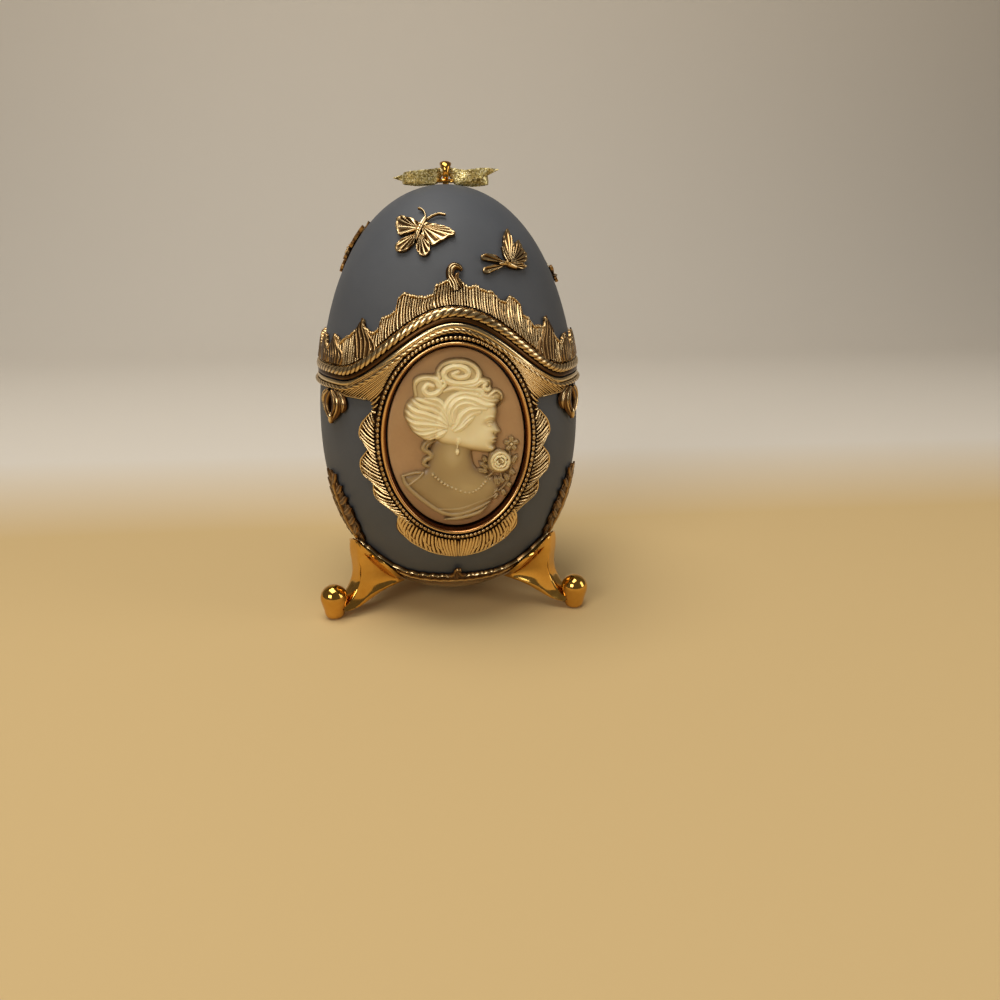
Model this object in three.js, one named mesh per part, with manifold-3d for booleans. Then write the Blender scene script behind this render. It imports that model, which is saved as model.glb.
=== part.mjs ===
// An egg-shaped trinket box on a three-legged gilt stand: a hinged lid with a wavy rope-moulded seam, a cameo on the
// front, leaf castings round it, four butterflies on the lid and a ribbon tied through an eye on the top.
// Millimetres, +Z up, the cameo faces -Y. Azimuths are degrees from -Y towards +X.
import * as THREE from "three";
import { mergeVertices } from "three/addons/utils/BufferGeometryUtils.js";
import Module from "manifold-3d";

const wasm = await Module();
wasm.setup();

// Egg: a long ellipse, fuller below its middle
const eggHeight = 96.8;
const eggGirth = 63;
const eggTaper = 0.111;
const eggFullness = 0.125;
const eggLift = 3.5;
const wall = 1.6;
const lining = 0.8;
const liningSetback = 1.2;
const gap = 0.3;

// Seam between lid and body: level at the sides and back, arched over the cameo
const seamLevel = 58.3;
const archRise = 13.2;
const archHalfAngle = 53;

// Rope-moulded rims, one on each side of the seam
const lidRopeDistance = 2;
const lidRopeWidth = 2.1;
const lidRimWidth = 3.3;
const bodyRopeDistance = 1.4;
const bodyRopeWidth = 1.5;
const bodyRimWidth = 2.3;
const ropeHeight = 0.55;
const ropeTwist = 0.3;
const ropeStrands = 64;
const rimLip = 0.4;

// Crest of feathers and leaves over the lid's rim
const crestThickness = 0.75;
const crestRib = 0.3;
const crestColumns = 110;
const sideLeafTop = 9.1;
const sideLeafNotch = 6.5;
const sideLeafAngle = 12;
const curlWire = 0.75;

// Cameo: an oval plaque in a bezel let into the front of the body
const plaqueWidth = 30;
const plaqueHeight = 40;
const plaqueThickness = 2.5;
const plaqueLevel = 46.5;
const plaqueFace = 27.7;
const plaqueBevel = 0.3;
const bezelWidth = 1.1;
const bezelProud = 1.0;
const seatWall = 1.5;
const reliefDepth = 2.2;

// Leaf fringe round the bezel
const fringeThickness = 0.9;
const fringeRib = 0.35;
const fringeLeast = 0.5;
const fringeColumns = 88;

// Pendant leaves under the rim and sprays over the legs
const pendantAzimuth = 58;
const pendantLength = 6;
const pendantWidth = 8.6;
const sprayLength = 17;
const sprayWidth = 10.6;
const leafThickness = 0.8;
const leafKeel = 0.5;

// Stand
const legCount = 3;
const legReach = 34.3;
const ballRadius = 3.3;
const ballHeight = 5.3;
const soleRadius = 1.9;
const skirtEdge = 0.9;
const skirtRise = 2.2;
const collarThickness = 1.2;
const collarLow = 12.2;
const collarRise = 7;
const collarSpread = 16;
const collarBead = 0.7;
const screwRadius = 1.1;
const screwHeadRadius = 2.4;
const screwHeadHeight = 0.9;
const nutRadius = 2.6;
const nutHeight = 1.8;
const floorLevel = 8.8;

// Hinge at the back
const hingeWidth = 11;
const hingeLeafHeight = 6.4;
const hingeSheet = 0.8;
const knuckleRadius = 1.5;
const pinRadius = 0.55;

// Eye and ribbon on the top
const eyeWire = 0.65;
const eyeRadius = 1.65;
const eyeCollarRadius = 2.2;
const eyeCollarHeight = 0.8;
const eyeStemRadius = 0.7;
const ribbonWidth = 3.3;
const ribbonThickness = 0.45;
const ribbonLoopLength = 9;
const ribbonLoopDepth = 3.4;
const ribbonTailLength = 11.5;

// Butterflies on the lid: their thickness and spans, and how far up from the crest to the egg's top each one sits
const butterflyThickness = 0.9;
const butterflySpan = 12.5;
const flyingSpan = 9.5;
const frontLeftRise = 0.522;
const frontRightRise = 0.471;
const sideLeftRise = 0.59;
const sideRightRise = 0.395;

const eggHalf = eggHeight / 2;
const eggMiddle = eggLift + eggHalf;
const eggTop = eggLift + eggHeight;
const eggRadius = eggGirth / 2;

const gilt = () => new THREE.MeshStandardMaterial({ color: 0xb8893a, roughness: 0.28, metalness: 1 });
const polishedGilt = () => new THREE.MeshStandardMaterial({ color: 0xc98f2c, roughness: 0.14, metalness: 1 });
const shellPaint = () => new THREE.MeshStandardMaterial({ color: 0x596069, roughness: 0.75, metalness: 0 });
const velvet = () => new THREE.MeshStandardMaterial({ color: 0x3d4756, roughness: 0.95, metalness: 0 });
const plaquePink = () => new THREE.MeshStandardMaterial({ color: 0xb08a68, roughness: 0.4, metalness: 0 });
const plaqueIvory = () => new THREE.MeshStandardMaterial({ color: 0xd8cc98, roughness: 0.42, metalness: 0 });
const ribbonGold = () => new THREE.MeshStandardMaterial({ color: 0xa89a58, roughness: 0.6, metalness: 0.4 });
const steel = () => new THREE.MeshStandardMaterial({ color: 0x8f8a80, roughness: 0.35, metalness: 1 });

const radians = THREE.MathUtils.degToRad;
const degrees = THREE.MathUtils.radToDeg;
const clamp = THREE.MathUtils.clamp;
const mix = THREE.MathUtils.lerp;
const smooth = THREE.MathUtils.smoothstep;

// The egg's surface: its latitude at a height, its radius and outward slope, and a point some way out from it
function latitude(height) {
  return Math.asin(clamp((height - eggMiddle) / eggHalf, -1, 1));
}

function profile(lat) {
  const s = Math.sin(lat);
  const c = Math.cos(lat);
  const girth = 1 - eggTaper * s + eggFullness * s * s;
  const along = eggRadius * (c * c * (2 * eggFullness * s - eggTaper) - s * girth);
  const up = eggHalf * c;
  const length = Math.hypot(along, up);
  return { radius: eggRadius * c * girth, outR: up / length, outZ: -along / length };
}

function onEgg(azimuth, lat, out) {
  const { radius, outR, outZ } = profile(lat);
  const reach = radius + out * outR;
  const a = radians(azimuth);
  return new THREE.Vector3(
    reach * Math.sin(a),
    -reach * Math.cos(a),
    eggMiddle + eggHalf * Math.sin(lat) + out * outZ,
  );
}

const atHeight = (azimuth, height, out) => onEgg(azimuth, latitude(height), out);

// The point of the front at a width and height, some way out from the egg
function onFront(x, height, out) {
  const lat = latitude(height - out * profile(latitude(height)).outZ);
  const { radius, outR } = profile(lat);
  const reach = radius + out * outR;
  return new THREE.Vector3(x, -Math.sqrt(reach * reach - x * x), height);
}

// Millimetres along the egg for a degree of azimuth at the seam
const degreeLength = radians(1) * profile(latitude(seamLevel)).radius;

function seamHeight(azimuth) {
  const a = Math.abs(THREE.MathUtils.euclideanModulo(azimuth + 180, 360) - 180);
  if (a >= archHalfAngle) return seamLevel;
  return seamLevel + archRise * (0.5 + 0.5 * Math.cos((Math.PI * a) / archHalfAngle));
}

function seamSlope(azimuth) {
  const step = 0.5;
  const rise = seamHeight(azimuth + step) - seamHeight(azimuth - step);
  return Math.atan2(rise, 2 * step * degreeLength);
}

// A point a distance above or below the seam, measured square to it
function besideSeam(azimuth, distance, out) {
  const slope = seamSlope(azimuth);
  const aside = azimuth - (distance * Math.sin(slope)) / degreeLength;
  return atHeight(aside, seamHeight(azimuth) + distance * Math.cos(slope), out);
}

// The height of a line that keeps a distance from the seam, straight above or below a point of it
const heightBeside = (azimuth, distance) => seamHeight(azimuth) + distance / Math.cos(seamSlope(azimuth));

// Closed surfaces
function closedSurface(positions, index) {
  let volume = 0;
  const corner = (k) => new THREE.Vector3().fromArray(positions, 3 * index[k]);
  for (let k = 0; k < index.length; k += 3) {
    volume += corner(k).dot(corner(k + 1).cross(corner(k + 2)));
  }
  const faces = volume < 0 ? index.slice().reverse() : index;
  const geometry = new THREE.BufferGeometry();
  geometry.setAttribute("position", new THREE.Float32BufferAttribute(positions, 3));
  geometry.setIndex(faces);
  return geometry;
}

// Sections of the same number of points joined one to the next, as a ring or with a cap on each end
function loft(sections, ring = false) {
  const count = sections.length;
  const size = sections[0].length;
  const positions = sections.flat().flatMap((p) => p.toArray());
  const index = [];
  const at = (i, k) => (i % count) * size + (k % size);
  for (let i = 0; i < (ring ? count : count - 1); i++) {
    for (let k = 0; k < size; k++) {
      index.push(at(i, k), at(i + 1, k), at(i + 1, k + 1));
      index.push(at(i, k), at(i + 1, k + 1), at(i, k + 1));
    }
  }
  if (!ring) {
    for (const [end, turned] of [[0, false], [count - 1, true]]) {
      const middle = positions.length / 3;
      const centre = new THREE.Vector3();
      sections[end].forEach((p) => centre.add(p));
      positions.push(...centre.divideScalar(size).toArray());
      for (let k = 0; k < size; k++) {
        const pair = turned ? [at(end, k + 1), at(end, k)] : [at(end, k), at(end, k + 1)];
        index.push(middle, ...pair);
      }
    }
  }
  return closedSurface(positions, index);
}

// A skin between two surfaces given over (u, v), v = 0 and 1 being its edges or poles; it goes all round in u
function skin(columns, rows, outer, inner, poles = {}) {
  const positions = [];
  const index = [];
  for (const side of [outer, inner]) {
    for (let j = 0; j <= rows; j++) {
      for (let i = 0; i < columns; i++) positions.push(...side(i / columns, j / rows).toArray());
    }
  }
  const isPole = (j) => (j === 0 && poles.low) || (j === rows && poles.high);
  const at = (side, i, j) => (side * (rows + 1) + j) * columns + (isPole(j) ? 0 : i % columns);
  const face = (a, b, c) => {
    if (a !== b && b !== c && c !== a) index.push(a, b, c);
  };
  for (let i = 0; i < columns; i++) {
    for (let j = 0; j < rows; j++) {
      face(at(0, i, j), at(0, i + 1, j), at(0, i + 1, j + 1));
      face(at(0, i, j), at(0, i + 1, j + 1), at(0, i, j + 1));
      face(at(1, i, j), at(1, i + 1, j + 1), at(1, i + 1, j));
      face(at(1, i, j), at(1, i, j + 1), at(1, i + 1, j + 1));
    }
    if (!poles.low) {
      face(at(0, i + 1, 0), at(0, i, 0), at(1, i, 0));
      face(at(0, i + 1, 0), at(1, i, 0), at(1, i + 1, 0));
    }
    if (!poles.high) {
      face(at(0, i, rows), at(0, i + 1, rows), at(1, i + 1, rows));
      face(at(0, i, rows), at(1, i + 1, rows), at(1, i, rows));
    }
  }
  return closedSurface(positions, index);
}

// Joining and cutting
function solid(geometry) {
  const plain = geometry.index ? geometry.toNonIndexed() : geometry.clone();
  plain.deleteAttribute("normal");
  plain.deleteAttribute("uv");
  const merged = mergeVertices(plain, 1e-4);
  return new wasm.Manifold(
    new wasm.Mesh({
      numProp: 3,
      vertProperties: merged.attributes.position.array,
      triVerts: new Uint32Array(merged.index.array),
    }),
  );
}

function surface(made) {
  const m = made.getMesh();
  const geometry = new THREE.BufferGeometry();
  geometry.setAttribute("position", new THREE.Float32BufferAttribute(Array.from(m.vertProperties), m.numProp));
  geometry.setIndex(Array.from(m.triVerts));
  return geometry;
}

function mesh(name, geometry, material) {
  const plain = geometry.index ? geometry.toNonIndexed() : geometry;
  plain.computeVertexNormals();
  const made = new THREE.Mesh(plain, material);
  made.name = name;
  return made;
}

// An upright cylinder between two heights
function pillar(radius, low, high, sides = 16) {
  const g = new THREE.CylinderGeometry(radius, radius, high - low, sides);
  g.rotateX(Math.PI / 2);
  g.translate(0, 0, (low + high) / 2);
  return g;
}

// A cylinder along X between two ends, centred on a height and depth
function rod(radius, from, to, y, z, sides = 14) {
  const g = new THREE.CylinderGeometry(radius, radius, to - from, sides);
  g.rotateZ(Math.PI / 2);
  g.translate((from + to) / 2, y, z);
  return g;
}

// The egg swollen by some way, as one solid
function swollenEgg(out) {
  const steps = 20;
  const points = [];
  for (let k = 0; k <= steps; k++) {
    const p = onEgg(90, mix(-Math.PI / 2, Math.PI / 2, k / steps), out);
    points.push(new THREE.Vector2(k % steps === 0 ? 0 : p.x, p.z));
  }
  const g = new THREE.LatheGeometry(points, 48);
  g.rotateX(Math.PI / 2);
  return g;
}

// Ovals of the cameo: a ring of points at a margin outside the plaque's edge
const plaqueSides = 36;

function ovalPoint(turn, margin) {
  return new THREE.Vector2(
    (plaqueWidth / 2 + margin) * Math.sin(turn),
    plaqueLevel + (plaqueHeight / 2 + margin) * Math.cos(turn),
  );
}

function ovalRing(margin, depth) {
  const ring = [];
  for (let k = 0; k < plaqueSides; k++) {
    const p = ovalPoint((2 * Math.PI * k) / plaqueSides, margin);
    ring.push(new THREE.Vector3(p.x, -depth, p.y));
  }
  return ring;
}

const ovalBlock = (margin, back, front) => loft([ovalRing(margin, back), ovalRing(margin, front)]);

const seatMargin = gap + bezelWidth + gap;
const plaqueBack = plaqueFace - plaqueThickness;
const seatFloor = plaqueBack - gap;

// Body of the egg: a shell with a flat oval seat for the cameo, lined with velvet
function bodyShell() {
  const hole = latitude(eggMiddle - eggHalf) + (screwRadius + gap) / eggRadius;
  const place = (out) => (u, v) => {
    const azimuth = 360 * u;
    return onEgg(azimuth, mix(hole, latitude(seamHeight(azimuth) - gap / 2), v), out);
  };
  const hollow = solid(skin(48, 8, place(0), place(-wall)));
  const boss = solid(ovalBlock(seatMargin + seatWall, seatFloor - seatWall, plaqueFace + plaqueThickness + wall));
  const pocket = solid(ovalBlock(seatMargin, seatFloor, plaqueFace + 3 * plaqueThickness));
  const inside = boss.intersect(solid(swollenEgg(-0.1)));
  return mesh("body_shell", surface(hollow.add(inside).subtract(pocket)), shellPaint());
}

function bodyLiner() {
  const outerFace = wall + gap;
  const edgeLatitude = latitude(floorLevel - 1);
  const floorShare = 0.25;
  const place = (depth) => (u, v) => {
    const azimuth = 360 * u;
    const height = floorLevel + depth - outerFace;
    if (v < floorShare) {
      const rim = onEgg(azimuth, edgeLatitude, -depth);
      const share = v / floorShare;
      return new THREE.Vector3(rim.x * share, rim.y * share, height);
    }
    const top = latitude(seamHeight(azimuth) - liningSetback);
    const lat = mix(edgeLatitude, top, (v - floorShare) / (1 - floorShare));
    const p = onEgg(azimuth, lat, -depth);
    p.z = Math.max(p.z, height);
    return p;
  };
  const cup = solid(skin(32, 7, place(outerFace), place(outerFace + lining), { low: true }));
  const room = solid(ovalBlock(seatMargin + seatWall + gap, seatFloor - seatWall - gap, 2 * plaqueFace));
  return mesh("body_liner", surface(cup.subtract(room)), velvet());
}

// Lid of the egg
function lidShell() {
  const hole = Math.PI / 2 - (eyeStemRadius + gap) / eggRadius;
  const place = (out) => (u, v) => {
    const azimuth = 360 * u;
    return onEgg(azimuth, mix(latitude(seamHeight(azimuth) + gap / 2), hole, v), out);
  };
  return mesh("lid_shell", skin(48, 6, place(0), place(-wall)), shellPaint());
}

function lidLiner() {
  const place = (depth) => (u, v) => {
    const azimuth = 360 * u;
    return onEgg(azimuth, mix(latitude(seamHeight(azimuth) + liningSetback), Math.PI / 2, v), -depth);
  };
  const outerFace = wall + gap;
  return mesh("lid_liner", skin(32, 4, place(outerFace), place(outerFace + lining), { high: true }), velvet());
}

// Rope-moulded rim: a twisted bead on a flat lip that runs to the seam; side is 1 on the lid and -1 on the body
function ropeRim(name, side, ropeDistance, ropeWidth, rimWidth) {
  const columns = 2 * ropeStrands;
  const sections = [];
  for (let i = 0; i < columns; i++) {
    const azimuth = (360 * i) / columns;
    const high = i % 2 === 0;
    const crest = gap + rimLip + ropeHeight - (high ? 0 : ropeTwist);
    const lean = ropeWidth / 4 / degreeLength;
    const far = ropeDistance + ropeWidth / 2;
    sections.push([
      besideSeam(azimuth, side * gap * 0.5, gap),
      besideSeam(azimuth - lean, side * gap * 0.5, gap + rimLip),
      besideSeam(azimuth, side * ropeDistance, crest),
      besideSeam(azimuth + lean, side * far, gap + rimLip),
      besideSeam(azimuth, side * rimWidth, gap),
    ]);
  }
  return mesh(name, loft(sections, true), gilt());
}

// Crest on the lid: outline over the front, then side leaves of one size all round
const crestOutline = [
  [-60, 9.5], [-54.9, 8.2], [-44.5, 11.2], [-41.6, 13.3], [-37.9, 11], [-33, 11.6], [-32, 13.7],
  [-25.4, 15.4], [-25, 17.7], [-20.1, 18.8], [-15.9, 18.1], [-9.2, 18.6], [-8.5, 20.3], [-3, 21.3], [2, 21.9],
  [7.8, 20.1], [12.8, 19.9], [17.7, 19.2], [23.8, 17], [28.1, 18], [30.6, 16.4], [31, 14.3],
  [36.9, 11.9], [41.3, 11.6], [45, 13.4], [50.2, 8.9], [54.1, 7.6], [60, 9.3],
];

function crestHeight(azimuth) {
  const a = THREE.MathUtils.euclideanModulo(azimuth + 180, 360) - 180;
  const next = crestOutline.findIndex(([at]) => at >= a);
  if (next > 0) {
    const [a0, z0] = crestOutline[next - 1];
    const [a1, z1] = crestOutline[next];
    return seamLevel + mix(z0, z1, (a - a0) / (a1 - a0));
  }
  const last = crestOutline[crestOutline.length - 1][0];
  const share = ((Math.abs(a) - last) / sideLeafAngle) % 1;
  const swell = Math.abs(Math.cos(Math.PI * share));
  return seamLevel + mix(sideLeafNotch, sideLeafTop, swell * swell);
}

// The small scroll that stands on the middle of the crest: width and height of its points from root to tip
const curlPath = [[-0.3, 19.3], [-1.3, 21.7], [-1, 23.7], [0.7, 24.8], [2.4, 24.3], [2.3, 23]];

function crestCurl() {
  const curve = new THREE.CatmullRomCurve3(curlPath.map(([x, z]) => new THREE.Vector3(x, 0, seamLevel + z)));
  const steps = 12;
  const sides = 6;
  const sections = [];
  for (let i = 0; i <= steps; i++) {
    const middle = curve.getPoint(i / steps);
    const along = curve.getTangent(i / steps);
    const wire = mix(curlWire, curlWire * 0.6, i / steps);
    const ring = [];
    for (let k = 0; k < sides; k++) {
      const turn = (2 * Math.PI * k) / sides;
      const across = wire * Math.cos(turn);
      const out = gap + wire * (1 + Math.sin(turn));
      ring.push(onFront(middle.x + across * along.z, middle.z - across * along.x, out));
    }
    sections.push(ring);
  }
  return loft(sections);
}

function lidCrest() {
  const sections = [];
  for (let i = 0; i < crestColumns; i++) {
    const azimuth = (360 * i) / crestColumns;
    const rib = i % 2 === 0 ? crestRib : 0;
    const low = heightBeside(azimuth, lidRimWidth + gap);
    const high = Math.max(crestHeight(azimuth), low + 1);
    sections.push([
      atHeight(azimuth, low, gap),
      atHeight(azimuth, low, gap + crestThickness),
      atHeight(azimuth, mix(low, high, 0.5), gap + crestThickness * 0.6 + rib),
      atHeight(azimuth, high - 0.4, gap + crestThickness + rib),
      atHeight(azimuth, high, gap),
    ]);
  }
  const crest = solid(loft(sections, true)).add(solid(crestCurl()));
  return mesh("lid_crest", surface(crest), gilt());
}

// Cameo pieces
function cameoPlaque() {
  const sections = [
    ovalRing(0, plaqueBack),
    ovalRing(0, plaqueFace - plaqueBevel),
    ovalRing(-plaqueBevel, plaqueFace),
  ];
  return mesh("cameo_plaque", loft(sections), plaquePink());
}

function cameoBezel() {
  const sections = [];
  for (let k = 0; k < plaqueSides; k++) {
    const turn = (2 * Math.PI * k) / plaqueSides;
    const inner = ovalPoint(turn, gap);
    const crown = ovalPoint(turn, gap + bezelWidth * 0.6);
    const outer = ovalPoint(turn, gap + bezelWidth);
    const front = onFront(crown.x, crown.y, bezelProud);
    sections.push([
      new THREE.Vector3(inner.x, -plaqueBack, inner.y),
      new THREE.Vector3(inner.x, -plaqueFace - 0.2, inner.y),
      front,
      new THREE.Vector3(outer.x, front.y + 0.5, outer.y),
      new THREE.Vector3(outer.x, -plaqueBack, outer.y),
    ]);
  }
  return mesh("cameo_bezel", loft(sections, true), gilt());
}

// Bust of a woman in profile, as rows from the hem to the crown: height, left edge, right edge, depth share
const bustRows = [
  [-18, -2.5, 4.5, 0.25], [-15.5, -5.6, 8.6, 0.45], [-12.5, -9, 8.8, 0.55], [-10, -11.3, 7.6, 0.6],
  [-8, -11.4, 6.2, 0.6], [-6.4, -7.4, 4.6, 0.6], [-4, -6.6, 3.4, 0.65], [-2.4, -7.4, 3.9, 0.75],
  [-1.6, -8.2, 7, 0.85], [0, -9.6, 8, 0.9], [1, -10.3, 7.9, 0.9], [2.4, -11.1, 8.5, 0.95],
  [4, -11.5, 9.3, 0.95], [5.6, -11.6, 8.6, 1], [8, -11.3, 9.2, 1], [10, -10, 9.6, 1], [11.8, -8, 8, 0.95],
  [13.4, -5, 5.6, 0.9], [15.5, -2.8, 3.4, 0.8], [17.6, -1.2, 1.6, 0.5],
];

function cameoBust() {
  const columns = 7;
  const sections = bustRows.map(([up, left, right, share]) => {
    const row = [];
    for (let k = 0; k <= columns; k++) {
      const u = k / columns;
      const swell = Math.sqrt(clamp(4 * u * (1 - u), 0, 1));
      const raised = gap + 0.4 + reliefDepth * share * swell;
      row.push(new THREE.Vector3(mix(left, right, u), -plaqueFace - raised, plaqueLevel + up));
    }
    row.push(new THREE.Vector3(right, -plaqueFace - gap, plaqueLevel + up));
    row.push(new THREE.Vector3(left, -plaqueFace - gap, plaqueLevel + up));
    return row;
  });
  return mesh("cameo_bust", loft(sections), plaqueIvory());
}

// Rose, star flower and leaves that the bust holds: a lobed patch, thickest at the rose
function cameoFlowers() {
  const lobes = 9;
  const steps = 2 * lobes;
  const ring = (share, raised) => {
    const points = [];
    for (let k = 0; k < steps; k++) {
      const turn = (2 * Math.PI * k) / steps;
      const reach = share * (1 + 0.14 * Math.cos(lobes * turn));
      const x = 10.4 + 2.2 * reach * Math.sin(turn);
      const z = plaqueLevel - 5.6 + 4.6 * reach * Math.cos(turn);
      points.push(new THREE.Vector3(x, -plaqueFace - raised, z));
    }
    return points;
  };
  const sections = [ring(1, gap), ring(1, gap + 0.7), ring(0.6, gap + 1.7), ring(0.25, gap + 1.4)];
  return mesh("cameo_flowers", loft(sections), plaqueIvory());
}

// Leaf fringe: its outer outline on the right side, from the rim down to the foot, mirrored on the left
const fringeOutline = [
  [49, 54.3], [42, 55.4], [36.2, 52], [38.8, 50.2], [40.9, 47.9], [40.6, 45.6], [38, 43.7], [40.5, 42.2],
  [41.3, 40.2], [39.6, 38], [35.6, 36.8], [35.5, 33.6], [30.6, 31.7], [23, 28.2], [25.2, 26.2],
  [21.2, 22.7], [13.8, 20.5], [4.7, 19.2], [0, 19],
];

function insideFringe(azimuth, height) {
  const [webEnd, webFoot] = fringeOutline[0];
  if (height > heightBeside(azimuth, -bodyRimWidth - gap)) return false;
  if (height > webFoot) return azimuth < webEnd;
  let crossings = 0;
  for (let k = 1; k < fringeOutline.length; k++) {
    const [a0, z0] = fringeOutline[k - 1];
    const [a1, z1] = fringeOutline[k];
    const spans = z0 > height !== z1 > height;
    if (spans && mix(a0, a1, (height - z0) / (z1 - z0)) > azimuth) crossings += 1;
  }
  return crossings % 2 === 1;
}

// The azimuth and height at which a ray from the cameo's middle leaves the fringe
function fringeEdge(turn) {
  const side = Math.sin(turn) < 0 ? -1 : 1;
  const across = Math.abs(Math.sin(turn)) / degreeLength;
  const up = Math.cos(turn);
  const step = 0.05;
  let reach = plaqueWidth / 2;
  while (insideFringe((reach + step) * across, plaqueLevel + (reach + step) * up)) reach += step;
  return [side * reach * across, plaqueLevel + reach * up];
}

function cameoSurround() {
  const sections = [];
  for (let i = 0; i < fringeColumns; i++) {
    const turn = (2 * Math.PI * i) / fringeColumns;
    const rib = i % 2 === 0 ? fringeRib : 0;
    const bed = ovalPoint(turn, gap + bezelWidth + gap);
    const lowIn = onFront(bed.x, bed.y, gap);
    const highIn = onFront(bed.x, bed.y, gap + fringeThickness);
    const innerAzimuth = degrees(Math.atan2(lowIn.x, -lowIn.y));
    const [edgeAzimuth, edgeHeight] = fringeEdge(turn);
    const way = Math.hypot((edgeAzimuth - innerAzimuth) * degreeLength, edgeHeight - bed.y);
    const share = Math.max(1, fringeLeast / way);
    const a = (s) => mix(innerAzimuth, edgeAzimuth, s * share);
    const z = (s) => mix(bed.y, edgeHeight, s * share);
    sections.push([
      lowIn,
      highIn,
      atHeight(a(0.55), z(0.55), gap + fringeThickness * 0.8 + rib),
      atHeight(a(0.97), z(0.97), gap + fringeThickness * 0.9),
      atHeight(a(1), z(1), gap),
      atHeight(a(0.5), z(0.5), gap),
    ]);
  }
  return mesh("cameo_surround", loft(sections, true), gilt());
}

// A leaf lying on the egg: a strip from foot to tip with a raised keel and a notched edge
function leaf(name, azimuth, foot, tip, width, lobes, lean) {
  const steps = 3 * lobes + 2;
  const sections = [];
  for (let i = 0; i <= steps; i++) {
    const v = i / steps;
    const height = mix(foot, tip, v);
    const middle = azimuth + lean * v;
    const body = Math.sin(Math.PI * mix(0.22, 0.985, v));
    const notch = 1 - 0.16 * (i % 3 === 0 ? 1 : 0);
    const half = (width / 2) * Math.max(body * notch, 0.06);
    const aside = degrees(half / profile(latitude(height)).radius);
    const keel = gap + leafThickness + leafKeel * body;
    sections.push([
      atHeight(middle - aside, height, gap),
      atHeight(middle - aside, height, gap + leafThickness * 0.7),
      atHeight(middle - aside * 0.5, height, gap + leafThickness * 0.8),
      atHeight(middle, height, keel),
      atHeight(middle + aside * 0.5, height, gap + leafThickness * 0.8),
      atHeight(middle + aside, height, gap + leafThickness * 0.7),
      atHeight(middle + aside, height, gap),
      atHeight(middle, height, gap),
    ]);
  }
  return mesh(name, loft(sections), gilt());
}

function pendant(name, azimuth) {
  const top = seamLevel - bodyRimWidth - gap;
  return leaf(name, azimuth, top, top - pendantLength, pendantWidth, 2, 0);
}

// Stand: a leafy cup under the egg and three cabriole legs on ball feet
function fromLeg(azimuth) {
  const pitch = 360 / legCount;
  return Math.abs(THREE.MathUtils.euclideanModulo(azimuth, pitch) - pitch / 2);
}

function collarRim(azimuth) {
  const wave = 0.25 * Math.cos(radians(azimuth * 18));
  const near = fromLeg(azimuth) / collarSpread;
  return collarLow + collarRise * Math.exp(-near * near) + wave;
}

function standCollar() {
  const columns = 48;
  const hole = latitude(eggMiddle - eggHalf) + (screwRadius + gap) / eggRadius;
  const sections = [];
  for (let i = 0; i < columns; i++) {
    const azimuth = (360 * i) / columns;
    const top = latitude(collarRim(azimuth));
    const bead = collarBead * smooth(fromLeg(azimuth), 20, 27);
    const outside = gap + collarThickness;
    const at = (share, out) => onEgg(azimuth, mix(hole, top, share), out);
    const cup = [0, 0.2, 0.4, 0.6, 0.8, 1].map((share) => at(share, gap));
    const relief = [[1, 0.6], [0.92, 1], [0.82, 0.5]];
    const edge = relief.map(([share, rise]) => at(share, outside + bead * rise));
    const bowl = [0.74, 0.5, 0.25, 0].map((share) => at(share, outside));
    sections.push([...cup, ...edge, ...bowl]);
  }
  return mesh("stand_collar", loft(sections, true), gilt());
}

// How far out the cup's outside stands at a height and a distance to one side
function cupReach(height, aside) {
  const out = gap + collarThickness;
  const { outZ } = profile(latitude(height));
  const { radius, outR } = profile(latitude(height - out * outZ));
  return Math.sqrt(Math.max((radius + out * outR) ** 2 - aside * aside, 0));
}

// Stations down a leg: share of the way from the cup's shoulder out to the ball, height, half width of the face and
// of the skirt, how far the skirt's edge drops and falls back, thickness, and how far the back hangs under the face
const legStations = [
  [-0.02, 18.7, 0.9, 1.7, 0.1, 0.4, 4, 0],
  [0.05, 18.2, 2, 4.2, 0.5, 1.6, 5, 0],
  [0.08, 16.8, 2.8, 7, 1.3, 5, 5.5, 0],
  [0.11, 14.8, 2.8, 8.1, 2.4, 8, 6, 0],
  [0.08, 12.2, 2.7, 7.8, 3, 11, 6.5, 0],
  [0.08, 9.7, 2.7, 6.2, 2.6, 10.5, 6.5, 1],
  [0.18, 7.4, 2.7, 4.7, 2.6, 4.8, 5.2, 1.2],
  [0.38, 5.2, 2.7, 3.7, 2.3, 2.2, 4.2, 1.2],
  [0.61, 3.7, 2.7, 3.2, 1.6, 0.9, 3.4, 1.2],
  [0.84, 3.1, 2.4, 2.7, 1, 0.3, 2.4, 1.2],
];
const legFlank = [0, 0.25, 0.6, 1];

// Foot: a ball sunk in a rounded toe with a flat sole, as shares of the ball's radius and of its height
const toeTurns = [[0.79, 0.07], [0.92, 0.2], [0.98, 0.42], [1, 0.7]];

function ballFoot() {
  const points = [new THREE.Vector2(0, 0), new THREE.Vector2(soleRadius, 0)];
  for (const [out, up] of toeTurns) points.push(new THREE.Vector2(out * ballRadius, up * ballHeight));
  const steps = 6;
  for (let k = 0; k < steps; k++) {
    const rise = (Math.PI / 2) * (k / steps);
    points.push(new THREE.Vector2(ballRadius * Math.cos(rise), ballHeight + ballRadius * Math.sin(rise)));
  }
  points.push(new THREE.Vector2(0, ballHeight + ballRadius));
  const g = new THREE.LatheGeometry(points, 18);
  g.rotateX(Math.PI / 2);
  return g;
}

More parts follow.
